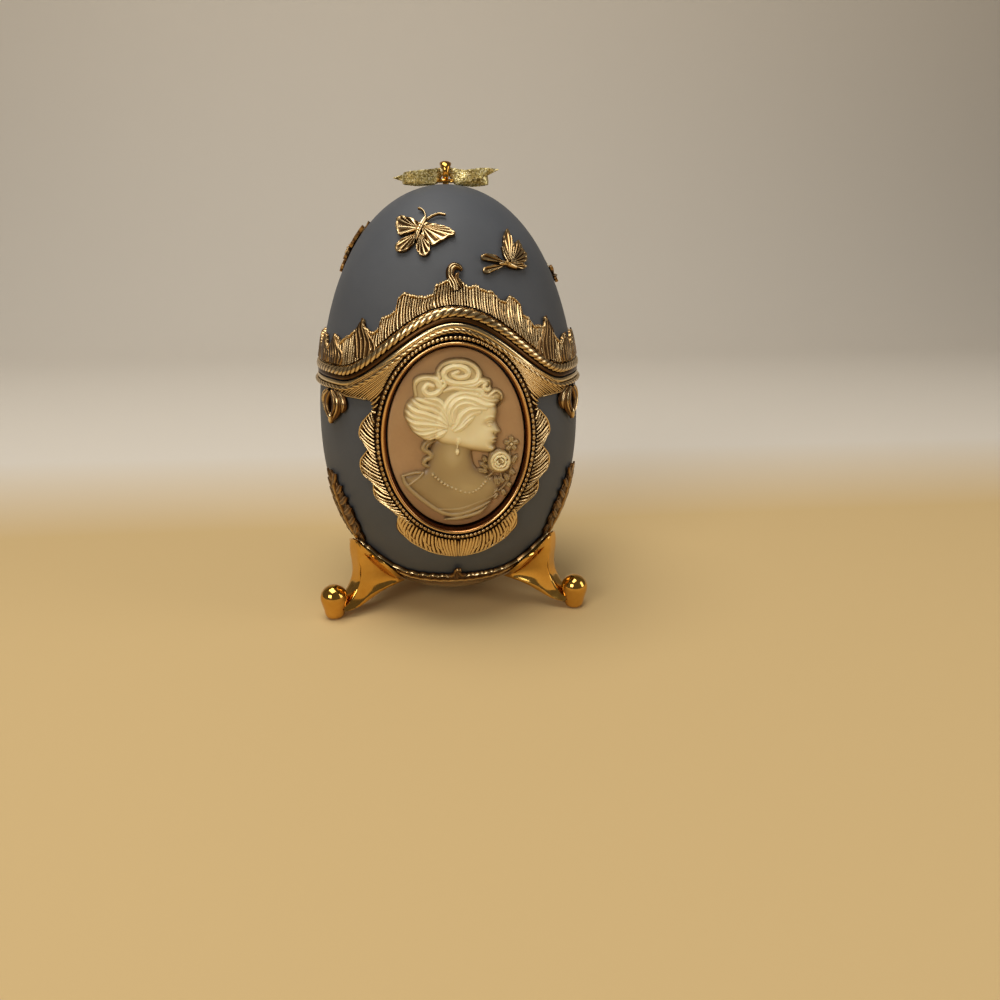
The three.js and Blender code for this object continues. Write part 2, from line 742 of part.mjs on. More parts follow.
function standLeg(name, azimuth) {
  const a = radians(azimuth);
  const outward = new THREE.Vector3(Math.sin(a), -Math.cos(a), 0);
  const across = new THREE.Vector3(Math.cos(a), Math.sin(a), 0);
  const up = new THREE.Vector3(0, 0, 1);
  const place = (aside, reach, height) =>
    new THREE.Vector3().addScaledVector(outward, reach).addScaledVector(across, aside).addScaledVector(up, height);
  const shoulder = cupReach(legStations[0][1], 0);
  const sections = legStations.map(([way, height, face, half, drop, recede, thick, hang]) => {
    const reach = mix(shoulder, legReach, way);
    const front = [];
    const back = [];
    for (const side of [-1, 1]) {
      const shares = side < 0 ? [...legFlank].reverse() : legFlank;
      const edge = gap + skirtEdge * Math.min(1, (legStations[0][1] - height) / skirtRise);
      for (const share of shares) {
        const aside = mix(face, half, share);
        const fall = 1 - (1 - share) ** 1.5;
        const level = height - drop * share;
        const out = Math.max(reach - recede * fall, cupReach(level, aside) + edge);
        front.push(place(side * aside, out, level));
        back.unshift(place(side * aside, out - thick * (1 - share / 2), level - hang * (1 - share)));
      }
    }
    return [...front, ...back];
  });
  const foot = ballFoot();
  foot.translate(legReach * outward.x, legReach * outward.y, 0);
  const cup = solid(swollenEgg(gap + collarThickness + gap));
  const under = new THREE.BoxGeometry(4 * legReach, 4 * legReach, 10);
  under.translate(0, 0, -5);
  const made = solid(loft(sections)).add(solid(foot)).subtract(cup).subtract(solid(under));
  return mesh(name, surface(made), polishedGilt());
}

// Screw from under the cup through the shell, and its nut inside
function standScrew() {
  const seat = eggLift - gap - collarThickness - gap;
  const head = solid(pillar(screwHeadRadius, seat - screwHeadHeight, seat));
  const shank = solid(pillar(screwRadius, seat - screwHeadHeight / 2, eggLift + wall + gap + nutHeight + 0.4, 16));
  return mesh("stand_screw", surface(head.add(shank)), steel());
}

function standNut() {
  const low = eggLift + wall + gap;
  const block = solid(pillar(nutRadius, low, low + nutHeight, 6));
  const bore = solid(pillar(screwRadius + gap, low - 1, low + nutHeight + 1, 16));
  return mesh("stand_nut", surface(block.subtract(bore)), steel());
}

// Hinge: two leaves with interleaved knuckles on one pin
const backRadius = profile(latitude(seamLevel)).radius;
const hingeFace = backRadius + gap + rimLip + ropeHeight + gap;
const hingeAxisY = hingeFace + knuckleRadius;

function hingeLeaf(name, side) {
  const third = hingeWidth / 3;
  const spans = side > 0
    ? [[-third / 2 + gap / 2, third / 2 - gap / 2]]
    : [[-hingeWidth / 2, -third / 2 - gap / 2], [third / 2 + gap / 2, hingeWidth / 2]];
  const far = seamLevel + side * hingeLeafHeight;
  const near = seamLevel + side * (knuckleRadius + gap);
  const plate = new THREE.BoxGeometry(hingeWidth, hingeSheet, Math.abs(far - near));
  plate.translate(0, hingeFace + hingeSheet / 2, (far + near) / 2);
  let made = solid(plate);
  for (const [from, to] of spans) {
    const tab = new THREE.BoxGeometry(to - from, hingeSheet, Math.abs(near - seamLevel) + 0.2);
    tab.translate((from + to) / 2, hingeFace + hingeSheet / 2, (near + seamLevel) / 2 + side * 0.1);
    made = made.add(solid(tab)).add(solid(rod(knuckleRadius, from, to, hingeAxisY, seamLevel)));
  }
  const bore = solid(rod(pinRadius + gap, -hingeWidth, hingeWidth, hingeAxisY, seamLevel));
  return mesh(name, surface(made.subtract(bore)), gilt());
}

function hingePin() {
  return mesh(
    "hinge_pin",
    rod(pinRadius, -hingeWidth / 2 - gap, hingeWidth / 2 + gap, hingeAxisY, seamLevel, 16),
    steel(),
  );
}

// A butterfly on the lid, as a flat casting with a raised body. Its outline is in shares of its span, x to its
// right wing and y to its head; turn is how far its head leans from straight up, towards +X
const spreadWings = [
  [0, 0.3], [0.1, 0.36], [0.28, 0.46], [0.5, 0.42], [0.46, 0.22], [0.34, 0.06], [0.36, -0.12], [0.26, -0.3],
  [0.12, -0.24], [0, -0.28], [-0.12, -0.24], [-0.26, -0.3], [-0.36, -0.12], [-0.34, 0.06], [-0.46, 0.22],
  [-0.5, 0.42], [-0.28, 0.46], [-0.1, 0.36],
];

const raisedWings = [
  [-0.06, 0.16], [-0.04, 0.5], [0.04, 0.66], [0.22, 0.52], [0.38, 0.34], [0.46, 0.12], [0.44, -0.04],
  [0.24, -0.14], [0, -0.1], [-0.22, -0.24], [-0.46, -0.3], [-0.5, -0.2], [-0.3, -0.08], [-0.5, 0.04],
  [-0.46, 0.12], [-0.22, 0.06],
];

function butterfly(name, azimuth, rise, span, turn, outline) {
  const height = mix(crestHeight(azimuth), eggTop, rise);
  const lean = radians(turn);
  const ring = (share, out) => outline.map(([x, y]) => {
    const aside = span * share * (x * Math.cos(lean) + y * Math.sin(lean));
    const up = span * share * (y * Math.cos(lean) - x * Math.sin(lean));
    const { radius, outR } = profile(latitude(height));
    const lat = latitude(height + up * outR);
    const a = azimuth + degrees(aside / Math.max(profile(lat).radius, radius / 2));
    return onEgg(a, lat, out);
  });
  const sections = [
    ring(0.45, gap),
    ring(1, gap),
    ring(1, gap + butterflyThickness * 0.6),
    ring(0.5, gap + butterflyThickness),
    ring(0.15, gap + butterflyThickness * 1.5),
  ];
  return mesh(name, loft(sections), gilt());
}

// Eye on the top and the ribbon bow tied through it
const eyeLevel = eggTop + gap + eyeCollarHeight + eyeRadius;

function finialEye() {
  const top = eggTop;
  const ring = new THREE.TorusGeometry(eyeRadius, eyeWire, 8, 16);
  ring.rotateY(Math.PI / 2);
  ring.translate(0, 0, eyeLevel);
  const collar = solid(pillar(eyeCollarRadius, top + gap, top + gap + eyeCollarHeight));
  const stem = solid(pillar(eyeStemRadius, top - wall, top + gap + eyeCollarHeight / 2, 12));
  return mesh("finial_eye", surface(solid(ring).add(collar).add(stem)), polishedGilt());
}

// The ribbon stands on edge: a strip from the knot out round a loop and back, and one out to a pointed tail
function ribbonBow() {
  const half = ribbonWidth / 2;
  const pinch = eyeRadius - eyeWire - gap;
  const strip = (path) => {
    const sections = path.map(([x, y, share], k) => {
      const [x0, y0] = path[Math.max(k - 1, 0)];
      const [x1, y1] = path[Math.min(k + 1, path.length - 1)];
      const length = Math.hypot(x1 - x0, y1 - y0);
      const nx = (-(y1 - y0) / length) * (ribbonThickness / 2);
      const ny = ((x1 - x0) / length) * (ribbonThickness / 2);
      const tall = mix(pinch * 0.8, half, share);
      return [
        new THREE.Vector3(x + nx, y + ny, eyeLevel - tall),
        new THREE.Vector3(x - nx, y - ny, eyeLevel - tall),
        new THREE.Vector3(x - nx, y - ny, eyeLevel + tall),
        new THREE.Vector3(x + nx, y + ny, eyeLevel + tall),
      ];
    });
    return solid(loft(sections));
  };
  const knot = new THREE.BoxGeometry(2.4 * eyeWire + 2, 1.6 * pinch, 1.6 * pinch);
  knot.translate(0, 0, eyeLevel);
  let made = solid(knot);
  for (const side of [-1, 1]) {
    const start = side * (eyeWire + gap);
    const loop = [];
    const steps = 14;
    for (let k = 0; k <= steps; k++) {
      const turn = mix(-Math.PI, Math.PI, k / steps);
      const x = start + (side * ribbonLoopLength * (1 + Math.cos(turn))) / 2;
      const y = (ribbonLoopDepth / 2) * Math.sin(turn) * (0.35 + 0.65 * Math.abs(Math.cos(turn / 2)));
      loop.push([x, y, smooth((1 + Math.cos(turn)) / 2, 0.02, 0.35)]);
    }
    const tail = [];
    for (let k = 0; k <= 6; k++) {
      const share = k / 6;
      const x = start + side * ribbonTailLength * share;
      const y = -side * (ribbonLoopDepth * 0.8) * Math.sin((Math.PI / 2) * share);
      const full = smooth(share, 0, 0.35) * (1 - 0.8 * smooth(share, 0.8, 1));
      tail.push([x, y, full]);
    }
    made = made.add(strip(loop)).add(strip(tail));
  }
  return mesh("ribbon_bow", surface(made), ribbonGold());
}

// Assembly
const legNames = ["left", "right", "back"];
const legAzimuths = [-180 / legCount, 180 / legCount, 180];

const base = new THREE.Group();
base.add(
  bodyShell(),
  bodyLiner(),
  ropeRim("body_rope_rim", -1, bodyRopeDistance, bodyRopeWidth, bodyRimWidth),
  cameoSurround(),
  cameoBezel(),
  cameoPlaque(),
  cameoBust(),
  cameoFlowers(),
  pendant("pendant_left", -pendantAzimuth),
  pendant("pendant_right", pendantAzimuth),
  standCollar(),
  standScrew(),
  standNut(),
  hingeLeaf("hinge_leaf_lower", -1),
  hingePin(),
);
legNames.forEach((side, k) => {
  const azimuth = legAzimuths[k];
  const foot = collarRim(azimuth) + gap;
  const lean = side === "left" ? -5 : side === "right" ? 5 : 0;
  base.add(standLeg("stand_leg_" + side, azimuth));
  base.add(leaf("spray_" + side, azimuth, foot, foot + sprayLength, sprayWidth, 4, lean));
});

const lid = new THREE.Group();
lid.add(
  lidShell(),
  lidLiner(),
  ropeRim("lid_rope_rim", 1, lidRopeDistance, lidRopeWidth, lidRimWidth),
  lidCrest(),
  butterfly("butterfly_front_left", -20, frontLeftRise, butterflySpan, 35, spreadWings),
  butterfly("butterfly_front_right", 34, frontRightRise, flyingSpan, 0, raisedWings),
  butterfly("butterfly_side_left", -100, sideLeftRise, butterflySpan, -20, spreadWings),
  butterfly("butterfly_side_right", 98, sideRightRise, flyingSpan, 10, raisedWings),
  finialEye(),
  ribbonBow(),
  hingeLeaf("hinge_leaf_upper", 1),
);

const box = new THREE.Group();
box.add(base, lid);

// The origin is under the middle of the whole box, on the surface that it stands on
const bounds = new THREE.Box3().setFromObject(box, true);
box.position.set(-(bounds.min.x + bounds.max.x) / 2, -(bounds.min.y + bounds.max.y) / 2, -bounds.min.z);

export default box;
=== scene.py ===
import math
import bpy
import bmesh
import numpy as np
from mathutils import Matrix, Vector


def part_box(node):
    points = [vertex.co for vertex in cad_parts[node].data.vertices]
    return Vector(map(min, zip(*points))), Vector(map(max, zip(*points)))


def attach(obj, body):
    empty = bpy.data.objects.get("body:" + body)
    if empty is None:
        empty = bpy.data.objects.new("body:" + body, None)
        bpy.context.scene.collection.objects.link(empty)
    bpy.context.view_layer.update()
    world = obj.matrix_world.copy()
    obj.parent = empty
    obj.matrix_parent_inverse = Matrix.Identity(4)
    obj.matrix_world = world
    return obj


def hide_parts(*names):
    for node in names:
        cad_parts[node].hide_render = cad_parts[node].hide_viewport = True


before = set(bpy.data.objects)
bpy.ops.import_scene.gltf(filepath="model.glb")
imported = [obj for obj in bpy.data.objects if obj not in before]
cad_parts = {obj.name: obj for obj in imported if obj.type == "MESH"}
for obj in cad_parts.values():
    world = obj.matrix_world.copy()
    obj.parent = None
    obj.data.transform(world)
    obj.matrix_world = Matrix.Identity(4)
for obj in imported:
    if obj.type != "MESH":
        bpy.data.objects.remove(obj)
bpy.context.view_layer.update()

# Camera: a telephone held a little above the box and to its left, about 20 cm from it. Its place in metres,
# heading, tilt and lens were solved from the egg, its feet and its plaque.
camera_place = Vector((-0.01018, -0.20135, 0.08719))
camera_heading = Vector((0.1156, 0.9933, 0)).normalized()
camera_tilt = math.radians(17.81)
camera_roll = math.radians(-0.155)
level_right = Vector((camera_heading.y, -camera_heading.x, 0))
view_way = camera_heading * math.cos(camera_tilt) - Vector((0, 0, math.sin(camera_tilt)))
view_up = level_right.cross(view_way)
turned_right = level_right * math.cos(camera_roll) - view_up * math.sin(camera_roll)
turned_up = view_up * math.cos(camera_roll) + level_right * math.sin(camera_roll)
lens = bpy.data.cameras.new("telephone")
lens.sensor_width = 36
lens.lens = 28.68
lens.clip_start = 0.01
camera = bpy.data.objects.new("telephone", lens)
camera.matrix_world = Matrix((
    (turned_right.x, turned_up.x, -view_way.x, camera_place.x),
    (turned_right.y, turned_up.y, -view_way.y, camera_place.y),
    (turned_right.z, turned_up.z, -view_way.z, camera_place.z),
    (0, 0, 0, 1),
))
bpy.context.collection.objects.link(camera)
bpy.context.scene.camera = camera
bpy.context.scene.view_settings.view_transform = "Standard"


# Stage: a pale tan sheet swept up into a warm grey wall behind the box, with three soft lamps round it.
# Materials are written as expressions: Wire wraps a socket, and a Finish makes the nodes of one surface.
class Wire:
    def __init__(self, finish, socket):
        self.finish = finish
        self.socket = socket

    def sum(self, operation, *values):
        return self.finish.node("ShaderNodeMath", {"operation": operation}, *values)

    def __add__(self, other):
        return self.sum("ADD", self, other)

    def __sub__(self, other):
        return self.sum("SUBTRACT", self, other)

    def __mul__(self, other):
        return self.sum("MULTIPLY", self, other)

    def __rsub__(self, other):
        return self.sum("SUBTRACT", other, self)

    __radd__ = __add__
    __rmul__ = __mul__


class Finish:
    def __init__(self, name):
        self.material = bpy.data.materials.new(name)
        self.material.use_nodes = True
        self.tree = self.material.node_tree
        self.shader = self.tree.nodes["Principled BSDF"]

    def feed(self, socket, value):
        if isinstance(value, Wire):
            self.tree.links.new(value.socket, socket)
        elif value is not None:
            socket.default_value = value

    def node(self, kind, settings=None, *values, out=0, **named):
        made = self.tree.nodes.new(kind)
        for key, value in (settings or {}).items():
            if key == "stops":
                while len(made.color_ramp.elements) < len(value):
                    made.color_ramp.elements.new(0.5)
                for element, (place, colour) in zip(made.color_ramp.elements, value):
                    element.position = place
                    element.color = colour
            else:
                setattr(made, key, value)
        for socket, value in zip(made.inputs, values):
            self.feed(socket, value)
        for key, value in named.items():
            self.feed(made.inputs[key.replace("_", " ")], value)
        return Wire(self, made.outputs[out])

    def place(self):
        return self.node("ShaderNodeTexCoord", out=3)

    def noise(self, scale, detail=3, roughness=0.5):
        return self.node("ShaderNodeTexNoise", None, self.place(), Scale=scale, Detail=detail, Roughness=roughness)

    def blend(self, share, first, second):
        made = self.tree.nodes.new("ShaderNodeMix")
        made.data_type = "RGBA"
        self.feed(made.inputs[0], share)
        self.feed(made.inputs[6], first)
        self.feed(made.inputs[7], second)
        return Wire(self, made.outputs[2])

    def ramp(self, value, *stops):
        return self.node("ShaderNodeValToRGB", {"stops": [(place, shade(*colour)) for place, colour in stops]}, value)

    def mottle(self, value, low, high, first, second):
        return self.blend(self.reach(value, low, high), shade(*first), shade(*second))

    def reach(self, value, low, high):
        return self.node("ShaderNodeMapRange", None, value, low, high, 0.0, 1.0)

    def crown_shading(self, name):
        return self.node("ShaderNodeAttribute", {"attribute_name": name}, out=2)

    def surface(self, **looks):
        for key, value in looks.items():
            self.feed(self.shader.inputs[key.replace("_", " ")], value)

    def bump(self, height, strength, distance):
        made = self.node("ShaderNodeBump", None, Strength=strength, Distance=distance, Height=height)
        self.feed(self.shader.inputs["Normal"], made)


def shade(red, green, blue):
    """A colour written as 0 to 255 on a screen, as the light that it stands for."""
    light = [((c / 255 + 0.055) / 1.055) ** 2.4 if c > 10 else c / 255 / 12.92 for c in (red, green, blue)]
    return (*light, 1)


sheet_finish = Finish("stage_sheet")
sheet_depth = sheet_finish.node("ShaderNodeSeparateXYZ", None, sheet_finish.place(), out=1)
sheet_finish.surface(
    Base_Color=sheet_finish.mottle(sheet_depth, 0.045, 0.14, (208, 180, 128), (224, 217, 206)),
    Roughness=0.85,
)
sheet_steps = 24
sheet_near = -1.2
sheet_sweep_start = 0.45
sheet_sweep_radius = 0.35
sheet_top = sheet_half_width = 1.6
sheet_line = [(sheet_near, 0)]
for turn in np.arange(sheet_steps - 1) / (sheet_steps - 2) * math.pi / 2:
    sheet_line.append((
        sheet_sweep_start + sheet_sweep_radius * math.sin(turn), sheet_sweep_radius * (1 - math.cos(turn)),
    ))
sheet_line.append((sheet_sweep_start + sheet_sweep_radius, sheet_top))
sheet_points = [(x, deep, high) for deep, high in sheet_line for x in (-sheet_half_width, sheet_half_width)]
sheet_faces = [(2 * k, 2 * k + 1, 2 * k + 3, 2 * k + 2) for k in range(sheet_steps)]
sheet_mesh = bpy.data.meshes.new("stage_sheet")
sheet_mesh.from_pydata(sheet_points, [], sheet_faces)
sheet_mesh.shade_smooth()
sheet_mesh.materials.append(sheet_finish.material)
stage_sheet = bpy.data.objects.new("stage_sheet", sheet_mesh)
bpy.context.collection.objects.link(stage_sheet)


def lamp(name, place, target, size, power, colour):
    made = bpy.data.lights.new(name, "AREA")
    made.shape = "RECTANGLE"
    made.size, made.size_y = size
    made.energy = power
    made.color = colour
    holder = bpy.data.objects.new(name, made)
    holder.location = place
    holder.rotation_euler = (Vector(target) - Vector(place)).to_track_quat("-Z", "Y").to_euler()
    bpy.context.collection.objects.link(holder)


lamp("overhead_lamp", (-0.15, -0.1, 0.85), (0, 0, 0.04), (0.7, 0.5), 5.4, (1, 0.955, 0.88))
lamp("front_lamp", (-0.42, -0.62, 0.38), (0, 0, 0.05), (0.35, 0.3), 1.95, (1, 0.95, 0.87))
lamp("side_lamp", (0.7, -0.25, 0.3), (0, 0, 0.05), (0.3, 0.5), 1.2, (1, 0.96, 0.9))
room = bpy.data.worlds.new("room")
room.use_nodes = True
room.node_tree.nodes["Background"].inputs["Color"].default_value = (0.36, 0.32, 0.27, 1)
room.node_tree.nodes["Background"].inputs["Strength"].default_value = 0.35
bpy.context.scene.world = room


# Egg: two thin moulded shells that meet on a seam which arches over the cameo, sprayed with matt slate paint.
# The egg is a long ellipse, fuller below its middle; the body has a flat oval seat let into its front.
egg_height = 96.8
egg_girth = 63
egg_taper = 0.111
egg_fullness = 0.125
egg_lift = 3.5
egg_half = egg_height / 2
egg_middle = egg_lift + egg_half
egg_radius = egg_girth / 2
millimetres = 1000
egg_shift = sum(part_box("finial_eye")[k][1] for k in (0, 1)) / 2 * millimetres
wall = 1.6
gap = 0.3
seam_level = 58.3
arch_rise = 13.2
arch_half_angle = 53


def latitude(height):
    return np.arcsin(np.clip((np.asarray(height, float) - egg_middle) / egg_half, -1, 1))


def egg_profile(lat):
    """The egg's radius at a latitude, and which way its surface faces there, outwards and up."""
    s, c = np.sin(lat), np.cos(lat)
    girth = 1 - egg_taper * s + egg_fullness * s * s
    along = egg_radius * (c * c * (2 * egg_fullness * s - egg_taper) - s * girth)
    up = egg_half * c
    length = np.hypot(along, up)
    return egg_radius * c * girth, up / length, -along / length


def on_egg(azimuth, lat, out):
    """Points some way out from the egg. Azimuth 0 is the front, and 90 the right side."""
    radius, facing_out, facing_up = egg_profile(lat)
    reach = radius + out * facing_out
    turn = np.radians(azimuth)
    return np.stack(np.broadcast_arrays(
        reach * np.sin(turn),
        -reach * np.cos(turn),
        egg_middle + egg_half * np.sin(lat) + out * facing_up,
    ), axis=-1)


def at_height(azimuth, height, out):
    return on_egg(azimuth, latitude(height), out)


def seam_height(azimuth):
    a = np.abs((np.asarray(azimuth, float) + 180) % 360 - 180)
    arch = arch_rise * (0.5 + 0.5 * np.cos(np.pi * np.minimum(a, arch_half_angle) / arch_half_angle))
    return seam_level + arch


class Casting:
    """Patches of surface gathered in millimetres round the egg's axis, and made into one piece in metres."""

    def __init__(self):
        self.points = []
        self.faces = []
        self.crown = []
        self.count = 0

    def patch(self, grid, crown=1.0, loop_u=False, loop_v=False, flip=False):
        """A grid of points, rows by columns; loop_u closes the columns and loop_v the rows."""
        rows, columns = grid.shape[:2]
        self.points.append(grid.reshape(-1, 3))
        self.crown.append(np.broadcast_to(crown, (rows, columns)).reshape(-1))
        j, i = np.meshgrid(
            np.arange(rows if loop_v else rows - 1), np.arange(columns if loop_u else columns - 1), indexing="ij",
        )
        j2, i2 = (j + 1) % rows, (i + 1) % columns
        corners = [j * columns + i, j * columns + i2, j2 * columns + i2, j2 * columns + i]
        if flip:
            corners.reverse()
        self.faces.append(np.stack(corners, axis=-1).reshape(-1, 4) + self.count)
        self.count += rows * columns

    def piece(self, name, finish, body=None, nodes=(), slot=None, sharp=None):
        """Joins the patches where their edges meet; an edge sharper than sharp, in degrees, isn't smoothed."""
        mesh = bpy.data.meshes.new(name)
        points = (np.concatenate(self.points) + (0, egg_shift, 0)) / millimetres
        mesh.from_pydata(points.tolist(), [], np.concatenate(self.faces).tolist())
        # Each point's crown, which the finishes turn into colour, mostly as painted shade where it is low and painted
        # highlight where it is high.
        crown_shading = mesh.attributes.new("crown", "FLOAT", "POINT")
        crown_shading.data.foreach_set("value", np.concatenate(self.crown).astype(np.float32))
        tidy = bmesh.new()
        tidy.from_mesh(mesh)
        bmesh.ops.remove_doubles(tidy, verts=tidy.verts, dist=1e-7)
        bmesh.ops.dissolve_degenerate(tidy, edges=tidy.edges, dist=1e-8)
        bmesh.ops.recalc_face_normals(tidy, faces=tidy.faces)
        tidy.to_mesh(mesh)
        tidy.free()
        mesh.shade_smooth()
        if sharp:
            mesh.set_sharp_from_angle(angle=math.radians(sharp))
        mesh.materials.append(finish.material)
        made = bpy.data.objects.new(name, mesh)
        bpy.context.collection.objects.link(made)
        if body:
            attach(made, body)
        if nodes:
            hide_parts(*nodes)
        return made


def around(count):
    return np.arange(count) * 360 / count


def mixed(a, b, share):
    return a + (b - a) * share


def ovals(margin, depth, sides=144):
    """A ring round the cameo's oval, a margin outside the plaque's edge, at a depth in front of the axis."""
    turn = np.arange(sides) * 2 * np.pi / sides
    return np.stack([
        (plaque_width / 2 + margin) * np.sin(turn),
        np.full(sides, -float(depth)),
        plaque_level + (plaque_height / 2 + margin) * np.cos(turn),
    ], axis=-1)


plaque_width = 30
plaque_height = 40
plaque_level = 46.5
plaque_face = 27.7
plaque_thickness = 2.5
plaque_back = plaque_face - plaque_thickness
bezel_width = 1.1
seat_margin = gap + bezel_width + gap
seat_wall = 1.5
seat_floor = plaque_back - gap

paint = Finish("slate_paint")
paint_mottle = paint.noise(90, 4, 0.6)
paint_grain = paint.noise(2600, 2, 0.6)
paint_drift = paint.noise(22, 2)
paint.surface(
    Base_Color=paint.mottle(paint_mottle * 0.6 + paint_drift * 0.4, 0.35, 0.65, (73, 77, 84), (81, 85, 92)),
    Roughness=paint.reach(paint_mottle, 0.2, 0.9) * 0.1 + 0.56,
    Specular_IOR_Level=0.4,
)
paint.bump(paint_grain + paint_mottle * 0.3, 0.12, 0.0002)


def cut(piece, tool, operation):
    """Joins, cuts or crosses one piece with another, and takes the tool away."""
    step = piece.modifiers.new("cut", "BOOLEAN")
    step.object = tool
    step.operation = operation
    step.solver = "EXACT"
    made = bpy.data.meshes.new_from_object(piece.evaluated_get(bpy.context.evaluated_depsgraph_get()))
    piece.modifiers.clear()
    old = piece.data
    piece.data = made
    bpy.data.meshes.remove(old)
    bpy.data.objects.remove(tool)


def oval_block(margin, back, front, name):
    block = Casting()
    block.patch(np.stack([ovals(margin, back), ovals(margin, front)]), loop_u=True)
    for depth in (back, front):
        rim = ovals(margin, depth)
        middle = np.broadcast_to(np.array([0, -float(depth), plaque_level]), rim.shape)
        block.patch(np.stack([middle, rim]), loop_u=True)
    return block.piece(name, paint)


def shell_walls(rows, low, high):
    """The outer and inner faces of a moulded shell between two latitudes, with its two edges."""
    shell = Casting()
    lat = mixed(low, high, np.linspace(0, 1, rows)[:, None])
    outer, inner = on_egg(shell_azimuth, lat, 0), on_egg(shell_azimuth, lat, -wall)
    shell.patch(outer, loop_u=True)
    shell.patch(inner, loop_u=True)
    for edge in (0, -1):
        shell.patch(np.stack([outer[edge], inner[edge]]), loop_u=True)
    return shell


screw_hole = -math.pi / 2 + (1.1 + gap) / egg_radius
eye_hole = math.pi / 2 - (0.7 + gap) / egg_radius
shell_azimuth = around(288)[None, :]
shell_seam = seam_height(shell_azimuth)
body_shell = shell_walls(90, screw_hole, latitude(shell_seam - gap / 2)).piece("body_shell_painted", paint)
boss_front = 31
pocket_front = 40
seat_boss = oval_block(seat_margin + seat_wall, seat_floor - seat_wall, boss_front, "seat_boss")
boss_trim = Casting()
boss_lat = np.linspace(-math.pi / 2, math.pi / 2, 60)[:, None]
boss_trim.patch(on_egg(around(120)[None, :], boss_lat, -0.1), loop_u=True)
cut(seat_boss, boss_trim.piece("boss_trim", paint), "INTERSECT")
cut(body_shell, seat_boss, "UNION")
cut(body_shell, oval_block(seat_margin, seat_floor, pocket_front, "seat_pocket"), "DIFFERENCE")
body_shell.data.shade_smooth()
body_shell.data.set_sharp_from_angle(angle=math.radians(35))
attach(body_shell, "base")
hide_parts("body_shell")
shell_walls(70, latitude(shell_seam + gap / 2), eye_hole).piece(
    "lid_shell_painted", paint, "lid", ["lid_shell"], "shell_paint", 35,
)


# Linings: a cup of flock-backed velvet glued inside each shell, its cut edge rolled over just short of the seam.
# The body's lining has a flat floor and swells inwards over the boss that holds the cameo's seat.
lining = 0.8
lining_setback = 1.2
floor_level = 8.8
boss_depth = seat_floor - seat_wall - gap

velvet = Finish("slate_velvet")
nap_drift = velvet.noise(140, 4, 0.65)
nap = velvet.noise(5200, 2, 0.7)
velvet.surface(
    Base_Color=velvet.mottle(nap_drift * 0.7 + nap * 0.3, 0.35, 0.65, (47, 54, 68), (76, 86, 104)),
    Roughness=0.95,
    Specular_IOR_Level=0.15,
    Sheen_Weight=0.6,
    Sheen_Roughness=0.45,
)
velvet.bump(nap + nap_drift * 0.6, 0.35, 0.0002)


def soft_waves(points, size, height, seed):
    """A slow uneven swell over points in millimetres, as padding has under cloth."""
    ways = np.random.default_rng(seed).normal(size=(5, 3))
    swell = sum(np.sin(points @ (way * 2 * np.pi / size / 1.7) + k) for k, way in enumerate(ways))
    return height * swell / 3


def padded(points, seed):
    """A lining's inner face, drawn in a little wherever the padding under it is thin."""
    return points * (1 - np.array([1, 1, 0]) * np.abs(soft_waves(points, 9, 0.12, seed)[..., None]) / 30)


def rolled_edge(outer, inner, way):
    """The cut edge of a lining, rolled over towards the seam between its two faces."""
    rows = [outer]
    for turn in np.radians((45, 90, 135)):
        lift = np.array([0, 0, way * lining / 2 * math.sin(turn)])
        rows.append(mixed(outer, inner, (1 - math.cos(turn)) / 2) + lift)
    return np.stack([*rows, inner])


lining_azimuth = around(216)[None, :]
lining_seam = seam_height(lining_azimuth)
boss_clear = seat_margin + seat_wall + 2 * gap
boss_blend = 0.12
cup = Casting()
cup_low = latitude(floor_level - 1)
cup_high = latitude(lining_seam - lining_setback)
cup_edges = []
for inward in (0, lining):
    cup_wall = on_egg(lining_azimuth, mixed(cup_low, cup_high, np.linspace(0, 1, 70)[:, None]), -(wall + gap + inward))
    cup_wall[..., 2] = np.maximum(cup_wall[..., 2], floor_level + inward)
    across = np.hypot(
        cup_wall[..., 0] / (plaque_width / 2 + boss_clear),
        (cup_wall[..., 2] - plaque_level) / (plaque_height / 2 + boss_clear),
    )
    pushed = np.clip((1 + boss_blend - across) / boss_blend, 0, 1)
    pushed = pushed * pushed * (3 - 2 * pushed)
    flat = inward - boss_depth
    front = (cup_wall[..., 1] < 0) & (cup_wall[..., 1] < flat)
    cup_wall[..., 1] = np.where(front, mixed(cup_wall[..., 1], flat, pushed), cup_wall[..., 1])
    cup_floor = cup_wall[:1] * np.linspace(0, 1, 14)[:, None, None]
    cup_floor[..., 2] = floor_level + inward
    if inward:
        cup_wall = padded(cup_wall, 3)
    cup.patch(cup_floor, loop_u=True)
    cup.patch(cup_wall, loop_u=True)
    cup_edges.append(cup_wall[-1])
cup.patch(rolled_edge(*cup_edges, 1), loop_u=True)
cup.piece("body_lining_velvet", velvet, "base", ["body_liner"], "velvet")

cap = Casting()
cap_low = latitude(lining_seam + lining_setback)
cap_edges = []
for inward in (0, lining):
    cap_face = on_egg(
        lining_azimuth, mixed(cap_low, math.pi / 2 - 1e-4, np.linspace(0, 1, 50)[:, None]), -(wall + gap + inward),
    )
    if inward:
        cap_face = padded(cap_face, 5)
    cap.patch(cap_face, loop_u=True)
    cap_edges.append(cap_face[0])
cap.patch(rolled_edge(*cap_edges, -1), loop_u=True)
cap.piece("lid_lining_velvet", velvet, "lid", ["lid_liner"], "velvet")


# Rims: two bands of gilt white metal that edge the seam, each cast with a twisted rope on a flat lip.
# They are glued on the shells and follow the arch over the cameo, the lid's rope the thicker of the two.
degree_length = math.radians(1) * float(egg_profile(latitude(seam_level))[0])
rim_lip = 0.4
rope_height = 0.55
strand_spacing = 1.65
rope_strands = 3
rope_step = 0.25
strand_groove = 0.74
strand_back = 1.04
